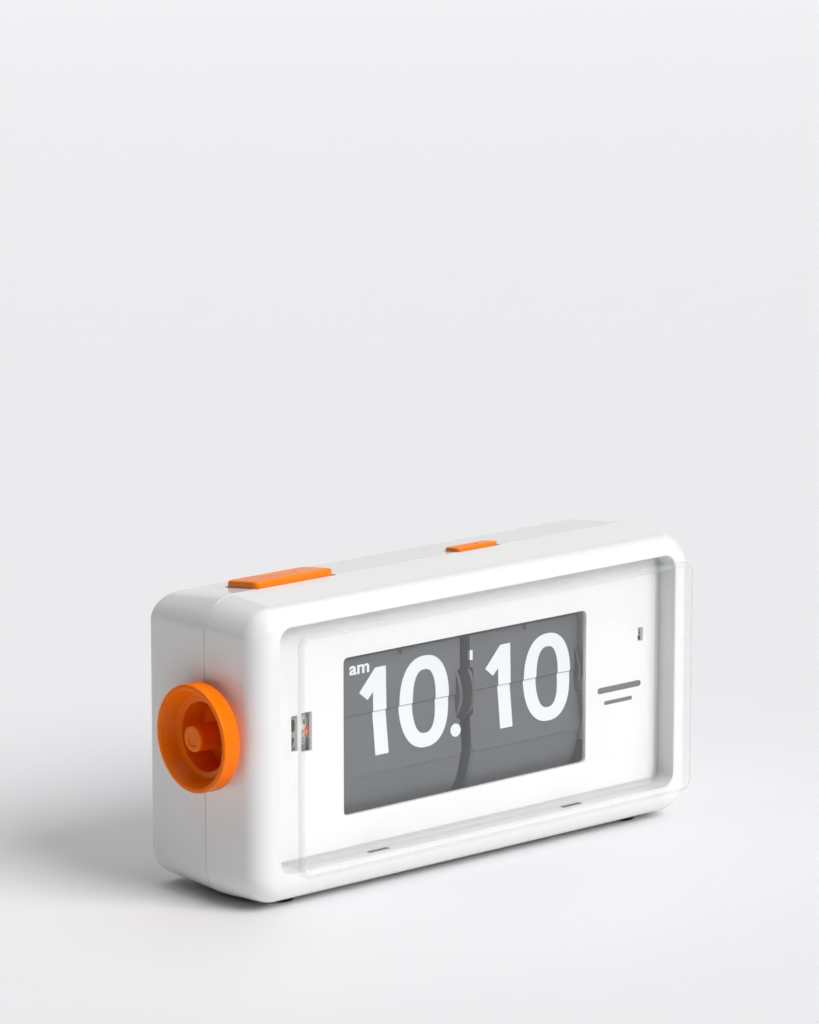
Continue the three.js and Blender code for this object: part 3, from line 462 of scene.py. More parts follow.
def front_edge():
    """For each corner normal, the angle of the front rounding at which it meets the opening."""
    angles = []
    for normal, (x, _, z) in zip(corner_normals(), opening_loop(0.5, 0)):
        side, level, nx, nz = normal
        base_x, _, base_z = case_point(normal, 0, 0, 0)
        room = (base_x - x) * nx + (base_z - z) * nz
        low, high = 0.0, math.pi / 2
        for _ in range(30):
            angle = (low + high) / 2
            y = FRONT_ROUND * (1 - math.sin(angle))
            inset = FRONT_TAPER * (PARTING_Y - y) + FRONT_ROUND * (1 - math.cos(angle))
            low, high = (angle, high) if inset < room else (low, angle)
        angles.append(low)
    return angles


def wheel_hole():
    """The hole in the left wall for the barrel of the alarm wheel."""
    outside, inside = -HALF_WIDTH - 2, -HALF_WIDTH + 8
    barrel = [(BARREL_HOLE, outside, 0), (BARREL_HOLE, inside, 0)]
    points, faces = bridge(lathe(barrel, (AXIS_Y, AXIS_Z), 64), caps=True)
    return add_mesh("cut_wheel", points, faces)


def parting_edge(y, inwards):
    """The rounded edge of a shell's wall at its parting plane y, from the inner skin to the outer one.

    inwards is 1 or -1, the direction of y from the parting plane into the shell."""
    return [case_loop(y + inwards * FIT, WALL), case_loop(y, WALL - 0.2), case_loop(y, FIT),
            case_loop(y + inwards * 0.09, 0.09), case_loop(y + inwards * FIT)]


def front_shell():
    normals = corner_normals()
    ends = front_edge()
    plate_y = PLATE.y0 - FIT
    loops = [case_loop(plate_y + 2.4, WALL)] + parting_edge(PARTING_Y, -1)
    loops += [case_loop(PARTING_Y - share * (PARTING_Y - FRONT_ROUND)) for share in (0.35, 0.7)]
    round_steps = 12
    for k in range(round_steps + 1):
        loop = []
        for normal, end in zip(normals, ends):
            angle = end * k / round_steps
            y = FRONT_ROUND * (1 - math.sin(angle))
            inset = FRONT_TAPER * (PARTING_Y - y) + FRONT_ROUND * (1 - math.cos(angle))
            loop.append(case_point(normal, y, inset, inset))
        loops.append(loop)
    edge_y = [p[1] for p in loops[-1]]
    for grow, deeper in ((0.4, 0.0), (0.12, 0.12), (0.0, 0.4)):
        loops.append([(x, y + deeper, z) for (x, _, z), y in zip(opening_loop(grow, 0), edge_y)])
    loops += [opening_loop(0, plate_y), opening_loop(1.6, plate_y), opening_loop(1.6, plate_y - 2.5)]
    points, faces = bridge(loops, closed=True)
    made = add_mesh("front_case", points, faces, WHITE)
    cut_with(made, [wheel_hole()])
    return finish_piece(weighted(made), ROOT, "white_gloss", "front_shell")


def block_mesh(name, x0, x1, y0, y1, z0, z1, radius):
    """A block with its edges along Y rounded."""
    outline = rounded_outline(x0, x1, z0, z1, radius)
    points, faces = bridge([[(x, y, z) for x, z in outline] for y in (y0, y1)], caps=True)
    return add_mesh(name, points, faces)


def upright_block(name, x0, x1, y0, y1, z0, z1, radius):
    """A block with its edges along Z rounded."""
    outline = rounded_outline(x0, x1, y0, y1, radius)
    points, faces = bridge([[(x, y, z) for x, y in outline] for z in (z0, z1)], caps=True)
    return add_mesh(name, points, faces)


def rear_shell():
    back = REAR.y1
    start = REAR.y0 - SEAM_CLOSED
    loops = [case_loop(back - WALL, WALL)] + parting_edge(start, 1) + [case_loop(back - REAR_ROUND)]
    round_steps = 8
    for k in range(1, round_steps + 1):
        angle = math.pi / 2 * k / round_steps
        loops.append(case_loop(back - REAR_ROUND * (1 - math.sin(angle))))
    points, faces = bridge(loops, caps=True)
    made = add_mesh("rear_case", points, faces, WHITE)
    cutters = [block_mesh("cut_door", DOOR.x0 - FIT, DOOR.x1 + FIT, DOOR.y0 - 1, back + 1,
                          DOOR.z0 - FIT, DOOR.z1 + FIT, 0.7)]
    for side in ("left", "right"):
        for level in ("lower", "upper"):
            screw = NodeBox(f"case_screw_{level}_{side}")
            rim = circle_outline(screw.x, screw.z, SCREW_HOLE)
            points, faces = bridge([[(x, y, z) for x, z in rim] for y in (back - 7, back + 1)], caps=True)
            cutters.append(add_mesh("cut_screw", points, faces))
    for k in range(SOUND_SLOTS["count"]):
        z = SOUND_SLOTS["first"] + SOUND_SLOTS["pitch"] * k
        cutters.append(block_mesh("cut_sound", SOUND_SLOTS["x0"], SOUND_SLOTS["x1"], back - 4, back + 1,
                                  z, z + SOUND_SLOTS["height"], 0.99))
    for button in ("alarm_button", "light_button"):
        hole = NodeBox(button)
        flange = BUTTON_FLANGE - FIT
        cutters.append(upright_block("cut_button", hole.x0 + flange, hole.x1 - flange, start - 1,
                                     hole.y1 + FIT, REAR.z1 - 9, REAR.z1 + 3, 1.6))
    cutters.append(wheel_hole())
    cut_with(made, cutters)
    return finish_piece(weighted(made), ROOT, "white_gloss", "rear_shell")


# ---------------------------------------- clear cover


CLIP = {"middle": 40.6, "half": 4.3, "y0": 2.7, "depth": 2.0}  # slots in the opening's top and bottom


def clear_cover():
    """The box-shaped cover, and dark plates of painted shade where the slots that its four clips snap into
    lie.
    """
    fillet = 1.5
    fillet_steps = 6
    wall = 1.6

    def loop(inset, y):
        grow = -FIT - inset
        return rounded_loop(OPENING["half"] + grow, OPENING["z0"] - grow, OPENING["z1"] + grow,
                            OPENING["radius"] + grow, y)

    loops = []
    for k in range(fillet_steps + 1):
        angle = math.pi / 2 * k / fillet_steps
        loops.append(loop(fillet * (1 - math.sin(angle)), LENS.y0 + fillet * (1 - math.cos(angle))))
    loops += [loop(0, LENS.y1), loop(wall, LENS.y1), loop(wall, LENS.y0 + wall + 0.4),
              loop(wall + 0.12, LENS.y0 + wall + 0.12), loop(wall + 0.4, LENS.y0 + wall)]
    points, faces = bridge(loops, caps=True)
    made = add_mesh("clear_cover", points, faces, CLEAR, EDGE_PAINTED_SHADE)
    # The front fillet faces take the edge material: painted shade along the cover's rounded edges.
    per_row = len(loops[0])
    for face in made.data.polygons[:per_row * fillet_steps]:
        face.material_index = 1
    finish_piece(weighted(made), ROOT, "clear_cover", "front_lens")

    # The clip slots are not cut: near-black plates in the gap paint the shade inside them.
    reach, proud = 1.0, 0.02
    slots = []
    for middle in (-CLIP["middle"], CLIP["middle"]):
        for z in (OPENING["z0"] - reach, OPENING["z1"] - proud):
            outline = rounded_outline(middle - CLIP["half"], middle + CLIP["half"], z, z + reach + proud, 0.2)
            slots.append(flat_piece("painted_slot_shade", [outline], CLIP["depth"], SHADOW_LINE,
                                    place=case_place(0, CLIP["y0"], 0)))
    finish_piece(join("painted_slot_shades", slots), ROOT, "white_gloss")


# ---------------------------------------- dial plate and what shows through it


def dial_plate():
    thickness = PLATE.y1 - PLATE.y0
    half = PLATE.x1
    window = rounded_outline(WINDOW["x0"], WINDOW["x1"], WINDOW["z0"], WINDOW["z1"], WINDOW["radius"])
    openings = [window]
    for x0, x1, z0, z1 in PLATE_SLOTS:
        openings.append(rounded_outline(x0, x1, z0, z1, 0.25, 2))
    rim = rounded_outline(-half, half, PLATE.z0, PLATE.z1, OPENING["radius"] + 1.6, 8)
    sheet = flat_piece("sheet", [rim] + openings, thickness, DIAL_WHITE, 0.12, case_place(0, PLATE.y0, 0))
    marks = []
    ink = 0.06
    for x0, x1, z0, z1 in PRINTED_BARS:
        mark = rounded_outline(x0, x1, z0, z1, (z1 - z0) * 0.49)
        marks.append(flat_piece("mark", [mark], ink, PRINT_GREY, place=case_place(0, PLATE.y0 - ink / 2, 0)))
    finish_piece(join("dial", [sheet] + marks), ROOT, "white_gloss", "dial_plate")


def alarm_pointer():
    """The triangle beside the alarm hour. Its base lies under the right edge of the slot."""
    tip, base = POINTER.x0 + 0.45, POINTER.x1 + 0.3
    outline = [(tip, POINTER.z), (base, POINTER.z0), (base, POINTER.z1)]
    made = flat_piece("pointer", [outline], POINTER.y1 - POINTER.y0, ORANGE, 0,
                      case_place(0, POINTER.y0, 0))
    finish_piece(made, ROOT, "orange_plastic", "alarm_pointer")


def resampled(outline, count):
    """The closed outline as evenly spaced points."""
    lengths = [math.dist(a, b) for a, b in zip(outline, outline[1:] + outline[:1])]
    total = sum(lengths)
    made = []
    side, used = 0, 0.0
    for k in range(count):
        want = total * k / count
        while used + lengths[side] < want:
            used += lengths[side]
            side += 1
        share = (want - used) / lengths[side]
        (u0, v0), (u1, v1) = outline[side], outline[(side + 1) % len(outline)]
        made.append((u0 + (u1 - u0) * share, v0 + (v1 - v0) * share))
    return made


DRUM_RADIUS = ALARM_DRUM.z1 - AXIS_Z
DRUM_WALL = 1.2
DRUM_BORE = 3.9
DRUM_HOURS = 12
# Columns of the drum's print as (x0, x1): the frames round the hours, and the blocks of the scale.
HOUR_COLUMN = (-66.6, -62.9)
SCALE_COLUMN = (-70.2, -68.3)
NUMBER_X = -64.8
NUMBER_HEIGHT = 1.6


def on_drum(points):
    """Puts (x, arc length, height) points round the alarm drum, arc length 0 facing the front."""
    placed = []
    for x, arc, height in points:
        angle = arc / DRUM_RADIUS
        out = DRUM_RADIUS + height
        placed.append((x, AXIS_Y - out * math.cos(angle), AXIS_Z + out * math.sin(angle)))
    return placed


def drum_frame(x0, x1, arc0, arc1, line):
    """A printed frame of the given line width on the drum, or a filled box when line is None."""
    outer = resampled(rounded_outline(x0, x1, arc0, arc1, 0.6, 3), 48)
    if line is None:
        middle = (x0 + x1) / 2
        inner = [(middle + (u - middle) * 0.02, v) for u, v in outer]
    else:
        inner = resampled(rounded_outline(x0 + line, x1 - line, arc0 + line, arc1 - line, 0.4, 3), 48)
    loops = [on_drum([(u, v, 0.03) for u, v in outline]) for outline in (outer, inner)]
    points, faces = bridge(loops)
    return add_mesh("print", points, faces, SCALE_INK if line is None else INK)


def lettering(words, box, material, bold=0.0):
    """Flat lettering that fills the box (x0, x1, z0, z1), lying in X-Z with its front at y = 0."""
    curve = bpy.data.curves.new("words", "FONT")
    curve.body = words
    curve.offset = bold
    curve.resolution_u = 4
    holder = bpy.data.objects.new("words", curve)
    bpy.context.scene.collection.objects.link(holder)
    mesh = bpy.data.meshes.new_from_object(holder.evaluated_get(bpy.context.evaluated_depsgraph_get()))
    bpy.data.objects.remove(holder)
    xs = [v.co.x for v in mesh.vertices]
    ys = [v.co.y for v in mesh.vertices]
    x0, x1, z0, z1 = box
    wide = (x1 - x0) / (max(xs) - min(xs))
    tall = (z1 - z0) / (max(ys) - min(ys))
    for v in mesh.vertices:
        v.co = ((v.co.x - min(xs)) * wide + x0, 0, (v.co.y - min(ys)) * tall + z0)
    mesh.transform(Matrix.Scale(MM, 4))
    mesh.materials.clear()
    mesh.materials.append(material)
    return link_mesh("words", mesh)


def alarm_drum():
    x0, x1 = ALARM_DRUM.x0, ALARM_DRUM.x1 + 1.2
    inner, web = DRUM_RADIUS - DRUM_WALL, x0 + 1.4
    profile = softened([(DRUM_BORE, x0, 0, 0), (DRUM_RADIUS, x0, 0.15, 0), (DRUM_RADIUS, x1, 0.15, 0),
                        (inner, x1, 0, 0), (inner, web, 0, 0), (DRUM_BORE, web, 0, 0)])
    points, faces = bridge(lathe(profile, (AXIS_Y, AXIS_Z), 120), closed=True)
    pieces = [add_mesh("drum", points, faces, IVORY)]
    pitch = 2 * math.pi * DRUM_RADIUS / DRUM_HOURS
    for hour in range(DRUM_HOURS):
        arc = (hour - 0.2) * pitch
        pieces.append(drum_frame(*HOUR_COLUMN, arc + 0.15, arc + pitch - 0.15, 0.26))
        pieces.append(drum_frame(*SCALE_COLUMN, arc + 0.5, arc + pitch * 0.72, None))
        number = str((DRUM_HOURS - hour) % DRUM_HOURS + 1)
        half = 0.5 * len(number)
        words = lettering(number, (NUMBER_X - half, NUMBER_X + half, 0, NUMBER_HEIGHT), INK, 0.02)
        bottom = arc + (pitch - NUMBER_HEIGHT) / 2
        for v in words.data.vertices:
            flat = [(v.co.x / MM, v.co.z / MM + bottom, 0.06)]
            v.co = at(*on_drum(flat)[0])
        pieces.append(words)
    finish_piece(join("alarm_scale_drum", pieces), "alarm_setter", "white_satin", "alarm_drum")


# ---------------------------------------- wheel and knob

STEPS_PER_RIB = 6


def softened(corners, steps=4):
    """A profile of (radius, x, fillet, ribbed) corners as (radius, x, ribbed) points with round corners."""
    profile = []
    for k, (radius, x, fillet, ribbed) in enumerate(corners):
        if not fillet:
            profile.append((radius, x, ribbed))
            continue
        here = Vector((radius, x))
        before = Vector(corners[k - 1][:2])
        after = Vector(corners[(k + 1) % len(corners)][:2])
        start = here + (before - here).normalized() * fillet
        end = here + (after - here).normalized() * fillet
        for step in range(steps + 1):
            share = step / steps
            point = start.lerp(here, share).lerp(here.lerp(end, share), share)
            profile.append((point.x, point.y, ribbed))
    return profile


def alarm_wheel():
    """A ribbed rim with a conical bowl, and a barrel that goes into the case with a deep round hollow."""
    radius = (WHEEL.z1 - WHEEL.z0) / 2
    bore, neck, hollow, barrel, bowl_bottom, bowl_top = 1.6, 3.6, 10.8, 12.2, 13.0, 15.2
    rim = WHEEL.x0 + 0.5
    ledge = rim + 5.1
    inner_face = rim + 6.1
    floor = WHEEL.x0 + 14.7
    back = floor + 1.4
    profile = softened([
        (bore, floor, 0, 0), (hollow, floor, 0.5, 0), (hollow, ledge, 0.35, 0), (bowl_bottom, ledge, 0.7, 0),
        (bowl_top, rim, 0.5, 0), (radius, rim, 0.7, 0), (radius, rim + 1.3, 0, 0), (radius, rim + 1.6, 0, 1),
        (radius, inner_face - 0.4, 0, 1), (radius - 0.4, inner_face, 0, 0), (barrel, inner_face, 0, 0),
        (barrel, back, 0.2, 0), (neck, back, 0, 0), (neck, WHEEL.x1, 0, 0), (bore, WHEEL.x1, 0, 0),
    ])
    ribs, rib_depth = 120, 0.28
    rings = lathe(profile, (AXIS_Y, AXIS_Z), ribs * STEPS_PER_RIB, (ribs, rib_depth))
    points, faces = bridge(rings, closed=True)
    made = add_mesh("setting_wheel", points, faces, ORANGE, angle=50)
    finish_piece(made, "alarm_setter", "orange_plastic", "alarm_wheel")


def time_knob():
    """The ribbed knob in the wheel's hollow, and the thin shaft that it turns."""
    face = KNOB.x0
    radius = (KNOB.z1 - KNOB.z0) / 2
    dimple = face + 0.35
    shoulder = face + 12.7
    profile = softened([
        (0, dimple, 0, 0), (2.2, dimple, 0.15, 0), (2.6, face, 0.15, 0), (radius, face, 0.4, 0),
        (radius, face + 0.8, 0, 0), (radius, face + 1.1, 0, 1), (radius, shoulder, 0, 1), (0, shoulder, 0, 0),
    ])
    ribs, rib_depth = 40, 0.3
    points, faces = bridge(lathe(profile, (AXIS_Y, AXIS_Z), ribs * STEPS_PER_RIB, (ribs, rib_depth)))
    made = add_mesh("setting_knob", points, faces, ORANGE, angle=50)
    finish_piece(made, "time_setter", "orange_plastic", "time_knob")
    thin = 1.5
    shaft = [(0, shoulder, 0, 0), (thin, shoulder, 0, 0), (thin, KNOB.x1, 0.3, 0), (0, KNOB.x1, 0, 0)]
    points, faces = bridge(lathe(softened(shaft), (AXIS_Y, AXIS_Z), 32))
    made = add_mesh("setting_shaft", points, faces, STEEL)
    finish_piece(made, "time_setter", "steel", "time_knob")


# ---------------------------------------- leaves

DRUM_PITCH = 10  # radius of the circle of leaf pivots
HINGE_Y = AXIS_Y - DRUM_PITCH
LEAF_LENGTH = 18.4
STACK_LEAF_LENGTH = 19.6
SPLIT = 0.16  # half the gap between the two halves of a number
HINGE_EDGE = 0.12  # from the hinge to the leaf's own edge
WAIST = {"inset": 1.6, "height": 7.3, "shoulder": 1}  # where a leaf passes the drum's discs
NOTCH = {"half": 0.6, "depth": 1.8}
LEAF_THICKNESS = 0.3  # of a leaf with print on it
THIN_LEAF = 0.16  # thickness of the leaves behind it
STANDING_GAP = 0.75  # from the hinge to the first standing leaf, which the finger holds
HANGING_GAP = 0.4  # from the hinge to the first hanging leaf
STACK_PITCH = 0.24  # between the hanging leaves
STACK_DROP = 16  # how far the lowest hinge lies under the front one
STACK_STEP = math.radians(4)  # turn of the drum from one leaf of a stack to the next
PRINT_DEPTH = 0.05
LEAN = math.radians(5)  # of the front hanging leaf


def leaf_outline(left, right, length, chamfer, notched):
    """A leaf with its hinge edge at v = 0: narrow beside the drum's discs, with chamfered tips."""
    middle, half = (left + right) / 2, (right - left) / 2
    waist, top = half - WAIST["inset"], WAIST["height"]
    side = [(waist, HINGE_EDGE), (waist, top), (half, top + WAIST["shoulder"]), (half, length - chamfer),
            (half - chamfer, length)]
    if notched:
        side += [(NOTCH["half"], length), (NOTCH["half"], length - NOTCH["depth"])]
    mirrored = [(-u, v) for u, v in reversed(side)]
    return [(middle + u, v) for u, v in side + mirrored]


def oval(x0, x1, z0, z1, power, steps=72):
    """A squarish oval that fills the box."""
    made = []
    for k in range(steps):
        angle = 2 * math.pi * k / steps
        c, s = math.cos(angle), math.sin(angle)
        u = math.copysign(abs(c) ** (2 / power), c)
        v = math.copysign(abs(s) ** (2 / power), s)
        made.append(((x0 + x1) / 2 + u * (x1 - x0) / 2, (z0 + z1) / 2 + v * (z1 - z0) / 2))
    return made


# Figures are drawn about (0, 0), which lies on the gap between the leaves.
FIGURE_ONE = [[(1.4, 13.9), (-2.9, 13.9), (-9.4, 6.8), (-6.0, 4.0), (-3.8, 6.3), (-3.4, -14.1), (2.0, -14.1)]]
FIGURE_ZERO = [oval(-10.25, 10.25, -14.8, 14.6, 2.3), oval(-4.75, 4.75, -10.3, 10.2, 2.5)]

# span: left and right edge. columns: middles of the two figures. scale and rise: of the figures.
HOUR = {"name": "hour", "span": (-50.1, -0.6), "columns": (-32.6, -15.35), "scale": 1.0, "rise": 0.15}
MINUTE = {"name": "minute", "span": (3.5, 50.3), "columns": (19.3, 36.6), "scale": 0.975, "rise": -0.3}
HOUR_DOT = {"inset": 2.1, "drop": 11.4, "radius": 2.1}  # after the hour, below the split
MORNING_MARK = {"inset": 4.1, "width": 8.1, "z0": 67.0, "height": 3}
EDGE_MARK = {"inset": 0.05, "width": 1.25, "z0": 10.2, "z1": 13.4}  # pale mark at the minute's inner edge


def figures(leaf_set, shown):
    """Outlines of a two-figure number made of ones and zeros, with the small mark beside it."""
    scale, middle = leaf_set["scale"], AXIS_Z + leaf_set["rise"]
    printed = []
    for column, figure in zip(leaf_set["columns"], shown):
        shape = FIGURE_ONE if figure == "1" else FIGURE_ZERO
        printed.append([[(column + u * scale, middle + v * scale) for u, v in outline] for outline in shape])
    left, right = leaf_set["span"]
    if leaf_set["name"] == "hour":
        printed.append([circle_outline(right - HOUR_DOT["inset"], AXIS_Z - HOUR_DOT["drop"],
                                       HOUR_DOT["radius"])])
    else:
        x0 = left + EDGE_MARK["inset"]
        printed.append([rounded_outline(x0, x0 + EDGE_MARK["width"], AXIS_Z + EDGE_MARK["z0"],
                                        AXIS_Z + EDGE_MARK["z1"], 0.2, 2)])
    return printed


def half_print(outlines, upper, thickness):
    """The part of the outlines on one leaf, printed on its front (upper half) or back (lower half)."""
    pieces = []
    split = AXIS_Z + SPLIT if upper else AXIS_Z - SPLIT
    for outline in outlines:
        piece = flat_piece("print", outline, PRINT_DEPTH, PRINT)
        mesh = bmesh.new()
        mesh.from_mesh(piece.data)
        geometry = mesh.verts[:] + mesh.edges[:] + mesh.faces[:]
        bmesh.ops.bisect_plane(mesh, geom=geometry, dist=1e-7, plane_co=(0, 0, split * MM),
                               plane_no=(0, 0, -1 if upper else 1), clear_outer=True)
        mesh.to_mesh(piece.data)
        mesh.free()
        if not piece.data.vertices:
            bpy.data.objects.remove(piece)
            continue
        for v in piece.data.vertices:
            height = v.co.z / MM - AXIS_Z
            if upper:
                v.co = (v.co.x, v.co.y - (thickness / 2 + PRINT_DEPTH / 2) * MM, height * MM)
            else:
                v.co = (v.co.x, v.co.y + (thickness / 2 - PRINT_DEPTH / 2) * MM, -height * MM)
        pieces.append(piece)
    return pieces


def printed_leaf(leaf_set, front=None, back=None, length=STACK_LEAF_LENGTH, chamfer=1.5, notched=False):
    """One leaf standing on its hinge, with the upper half of a number in front or a lower half behind."""
    thickness = LEAF_THICKNESS
    outline = leaf_outline(*leaf_set["span"], length, chamfer, notched)
    local = Matrix.Translation((0, -thickness / 2, 0))
    pieces = [flat_piece("sheet", [outline], thickness, LEAF, 0.08, local)]
    if front:
        pieces += half_print(figures(leaf_set, front), True, thickness)
        if leaf_set["name"] == "hour":
            x0, z0 = leaf_set["span"][0] + MORNING_MARK["inset"], MORNING_MARK["z0"] - AXIS_Z
            box = (x0, x0 + MORNING_MARK["width"], z0, z0 + MORNING_MARK["height"])
            words = lettering("am", box, PRINT, 0.025)
            words.data.transform(Matrix.Translation((0, (-thickness / 2 - PRINT_DEPTH) * MM, 0)))
            pieces.append(words)
    if back:
        pieces += half_print(figures(leaf_set, back), False, thickness)
    return join("leaf", pieces)


def moved(made, place):
    """Moves a piece built at the origin to its place, given in millimetres."""
    matrix = place.copy()
    matrix.translation *= MM
    made.data.transform(matrix)
    return made


def thin_leaf(leaf_set):
    """A plain leaf of a stack, of which only the edge shows."""
    outline = leaf_outline(*leaf_set["span"], STACK_LEAF_LENGTH, 1.5, False)
    half = THIN_LEAF / 2
    points, faces = bridge([[(u, y, v) for u, v in outline] for y in (-half, half)], caps=True)
    made = add_mesh("leaf", points, faces, LEAF, in_case=False)
    made.data.polygons[0].use_smooth = False
    return made


def hanging_stack(leaf_set, shown):
    """Leaves already shown: they hang from the front, the underside and the back of the drum."""
    first_y = HINGE_Y + HANGING_GAP + LEAF_THICKNESS / 2
    front = printed_leaf(leaf_set, back=shown)
    pieces = [moved(front, case_place(0, first_y, AXIS_Z, math.pi - LEAN))]
    for k in range(1, round(math.pi / STACK_STEP)):
        around = k * STACK_STEP
        y = max(AXIS_Y - DRUM_PITCH * math.cos(around) + 1, first_y + STACK_PITCH * k)
        lean = LEAN * (1 - around / math.pi)
        place = case_place(0, min(y, AXIS_Y + 10.5), AXIS_Z - STACK_DROP * math.sin(around), math.pi - lean)
        pieces.append(moved(thin_leaf(leaf_set), place))
    name = leaf_set["name"]
    finish_piece(join(f"{name}_hanging_stack", pieces), ROOT, "leaf_grey", f"{name}_leaves_hanging")


def standing_stack(leaf_set, shown):
    """Leaves still to come: the next one stands, and those behind it lean back round the drum."""
    front = printed_leaf(leaf_set, front=shown)
    pieces = [moved(front, case_place(0, HINGE_Y + STANDING_GAP + LEAF_THICKNESS / 2, AXIS_Z))]
    for k in range(2, round(math.pi / STACK_STEP)):
        around = k * STACK_STEP
        lean = around * min(0.84 + 0.3 * around / math.pi, 0.98)
        y = AXIS_Y - DRUM_PITCH * math.cos(around) + 0.9
        place = case_place(0, y, AXIS_Z + DRUM_PITCH * math.sin(around), -lean)
        pieces.append(moved(thin_leaf(leaf_set), place))
    name = leaf_set["name"]
    finish_piece(join(f"{name}_standing_stack", pieces), ROOT, "leaf_grey", f"{name}_leaves_standing")


def falling_leaf(leaf_set, shown, following):
    """The leaf that falls next. It has to pass through the window, so it is no wider than that."""
    name = leaf_set["name"]
    left, right = leaf_set["span"]
    clear_of_window = dict(leaf_set, span=(left, min(right, WINDOW["x1"] - FIT)))
    leaf = printed_leaf(clear_of_window, shown, following, LEAF_LENGTH, 0.7, notched=True)
    made = moved(leaf, case_place(0, HINGE_Y, AXIS_Z))
    made.name = f"{name}_front_leaf"
    finish_piece(made, f"{name}_leaf", "leaf_grey", f"{name}_falling_leaf")


def leaf_drum(node, body):
    """A spool whose two end discs carry the leaves' hinges."""
    drum = NodeBox(node)
    radius, width, core, bore = drum.z1 - AXIS_Z, 1.2, 4, 1.6
    profile = softened([
        (bore, drum.x0, 0, 0), (radius, drum.x0, 0.2, 0), (radius, drum.x0 + width, 0.2, 0),
        (core, drum.x0 + width, 0, 0), (core, drum.x1 - width, 0, 0), (radius, drum.x1 - width, 0.2, 0),
        (radius, drum.x1, 0.2, 0), (bore, drum.x1, 0, 0),
    ])
    points, faces = bridge(lathe(profile, (AXIS_Y, AXIS_Z), 120), closed=True)
    finish_piece(add_mesh(f"{node}_spool", points, faces, DRUM_GREY), body, "dark_plastic", node)


# ---------------------------------------- buttons

BUTTON_SLOPE = REAR_TAPER["top"]
STEM_LENGTH = 6.6


def push_button(node, body, corner, fillet, mark_width, marks):
    """A cap with a rounded top edge, on a flange and a stem, with a row of raised marks on top."""
    box = NodeBox(node)
    x0, x1 = box.x0 + BUTTON_FLANGE, box.x1 - BUTTON_FLANGE
    middle = box.x

    def top(y):
        return box.z1 - BUTTON_SLOPE * (y - box.y0)

    def loop(inset, down):
        outline = rounded_outline(x0 + inset, x1 - inset, box.y0 + inset, box.y1 - inset,
                                  max(corner - inset, 0.3), 8)
        return [(x, y, top(y) - down) for x, y in outline]

    bottom = box.z0 + STEM_LENGTH
    loops = [[(x, y, bottom) for x, y, _ in loop(0, 0)]]
    round_steps = 6
    for k in range(round_steps + 1):
        angle = math.pi / 2 * k / round_steps
        loops.append(loop(fillet * (1 - math.cos(angle)), fillet * (1 - math.sin(angle))))
    points, faces = bridge(loops, caps=True)
    pieces = [add_mesh("cap", points, faces, BUTTON_ORANGE)]
    pieces.append(upright_block("flange", box.x0, box.x1, box.y0 + 1, box.y1 - 1, bottom, bottom + 1.2, 0.5))
    pieces[-1].data.materials.append(BUTTON_ORANGE)
    rim = circle_outline(middle, box.y, 1.8)
    points, faces = bridge([[(x, y, z) for x, y in rim] for z in (box.z0, bottom + 0.1)], caps=True)
    pieces.append(add_mesh("stem", points, faces, BUTTON_ORANGE))
    pitch = mark_width * 1.45
    raised = 0.12
    for k in range(marks):
        x = middle + (k - (marks - 1) / 2) * pitch
        mark = rounded_outline(x - mark_width / 2, x + mark_width / 2, -0.45, 0.45, 0.4)
        slope = math.atan(BUTTON_SLOPE)
        place = case_place(0, box.y, top(box.y) + raised, -math.pi / 2 - slope)
        pieces.append(flat_piece("mark", [mark], 0.4, BUTTON_ORANGE, 0.06, place))
    finish_piece(join(f"{node}_cap", pieces), body, "orange_plastic", node)


def return_spring(name):
    """The coil under a button."""
    node = f"{name}_button_spring"
    box = NodeBox(node)
    wire, turns, steps, sides = 0.25, 5, 36, 10
    height = box.z1 - box.z0
    radius = (box.x1 - box.x0) / 2 - wire
    sections = []
    for k in range(turns * steps + 1):
        around = 2 * math.pi * k / steps
        rise = box.z0 + wire + (height - 2 * wire) * k / (turns * steps)
        section = []
        for side in range(sides):
            angle = 2 * math.pi * side / sides
            out = radius + wire * math.cos(angle)
            section.append((box.x + out * math.cos(around), box.y + out * math.sin(around),
                            rise + wire * math.sin(angle)))
        sections.append(section)
    points, faces = bridge(sections, caps=True)
    made = add_mesh(f"{name}_return_spring", points, faces, STEEL)
    finish_piece(made, ROOT, "steel", node)
    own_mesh(made)


# ---------------------------------------- back, screws and feet


def battery_door():
    """The door in the back, with three grip grooves at its free end."""
    thickness = DOOR.y1 - DOOR.y0
    outline = rounded_outline(DOOR.x0, DOOR.x1, DOOR.z0, DOOR.z1, 0.8)
    made = flat_piece("door", [outline], thickness, WHITE, 0.2, case_place(0, DOOR.y0, 0))
    half_length, half_width, depth = 6, 0.6, 0.6
    grooves = []
    for down in (3, 6, 9):
        z = DOOR.z1 - down
        grooves.append(block_mesh("groove", DOOR.x - half_length, DOOR.x + half_length, DOOR.y1 - depth,
                                  DOOR.y1 + 1, z - half_width, z + half_width, 0.55))
    cut_with(made, grooves)
    made.name = "battery_cover"
    finish_piece(made, "door", "white_gloss", "battery_door")


def case_screw(node):
    """A long screw with a flat head and a cross recess."""
    box = NodeBox(node)
    head_radius, shank_radius = 2.9, 1.3
    head, recess_depth = 2.2, 1.0
    arm, slot = 1.7, 0.4
    cross = [(slot, arm), (slot, slot), (arm, slot), (arm, -slot), (slot, -slot), (slot, -arm),
             (-slot, -arm), (-slot, -slot), (-arm, -slot), (-arm, slot), (-slot, slot), (-slot, arm)]
    recess = [(box.x + u, box.z + v) for u, v in cross]
    rim = circle_outline(box.x, box.z, head_radius)
    shank = circle_outline(box.x, box.z, shank_radius, 16)
    overlap = 0.02
    pieces = [
        flat_piece("crown", [rim, recess], recess_depth, STEEL, 0, case_place(0, box.y1 - recess_depth, 0)),
        flat_piece("head", [rim], head - recess_depth + overlap, STEEL, 0, case_place(0, box.y1 - head, 0)),
        flat_piece("shank", [shank], box.y1 - head - box.y0, STEEL, 0, case_place(0, box.y0, 0)),
    ]
    finish_piece(join(f"{node}_visible", pieces), ROOT, "steel", node)


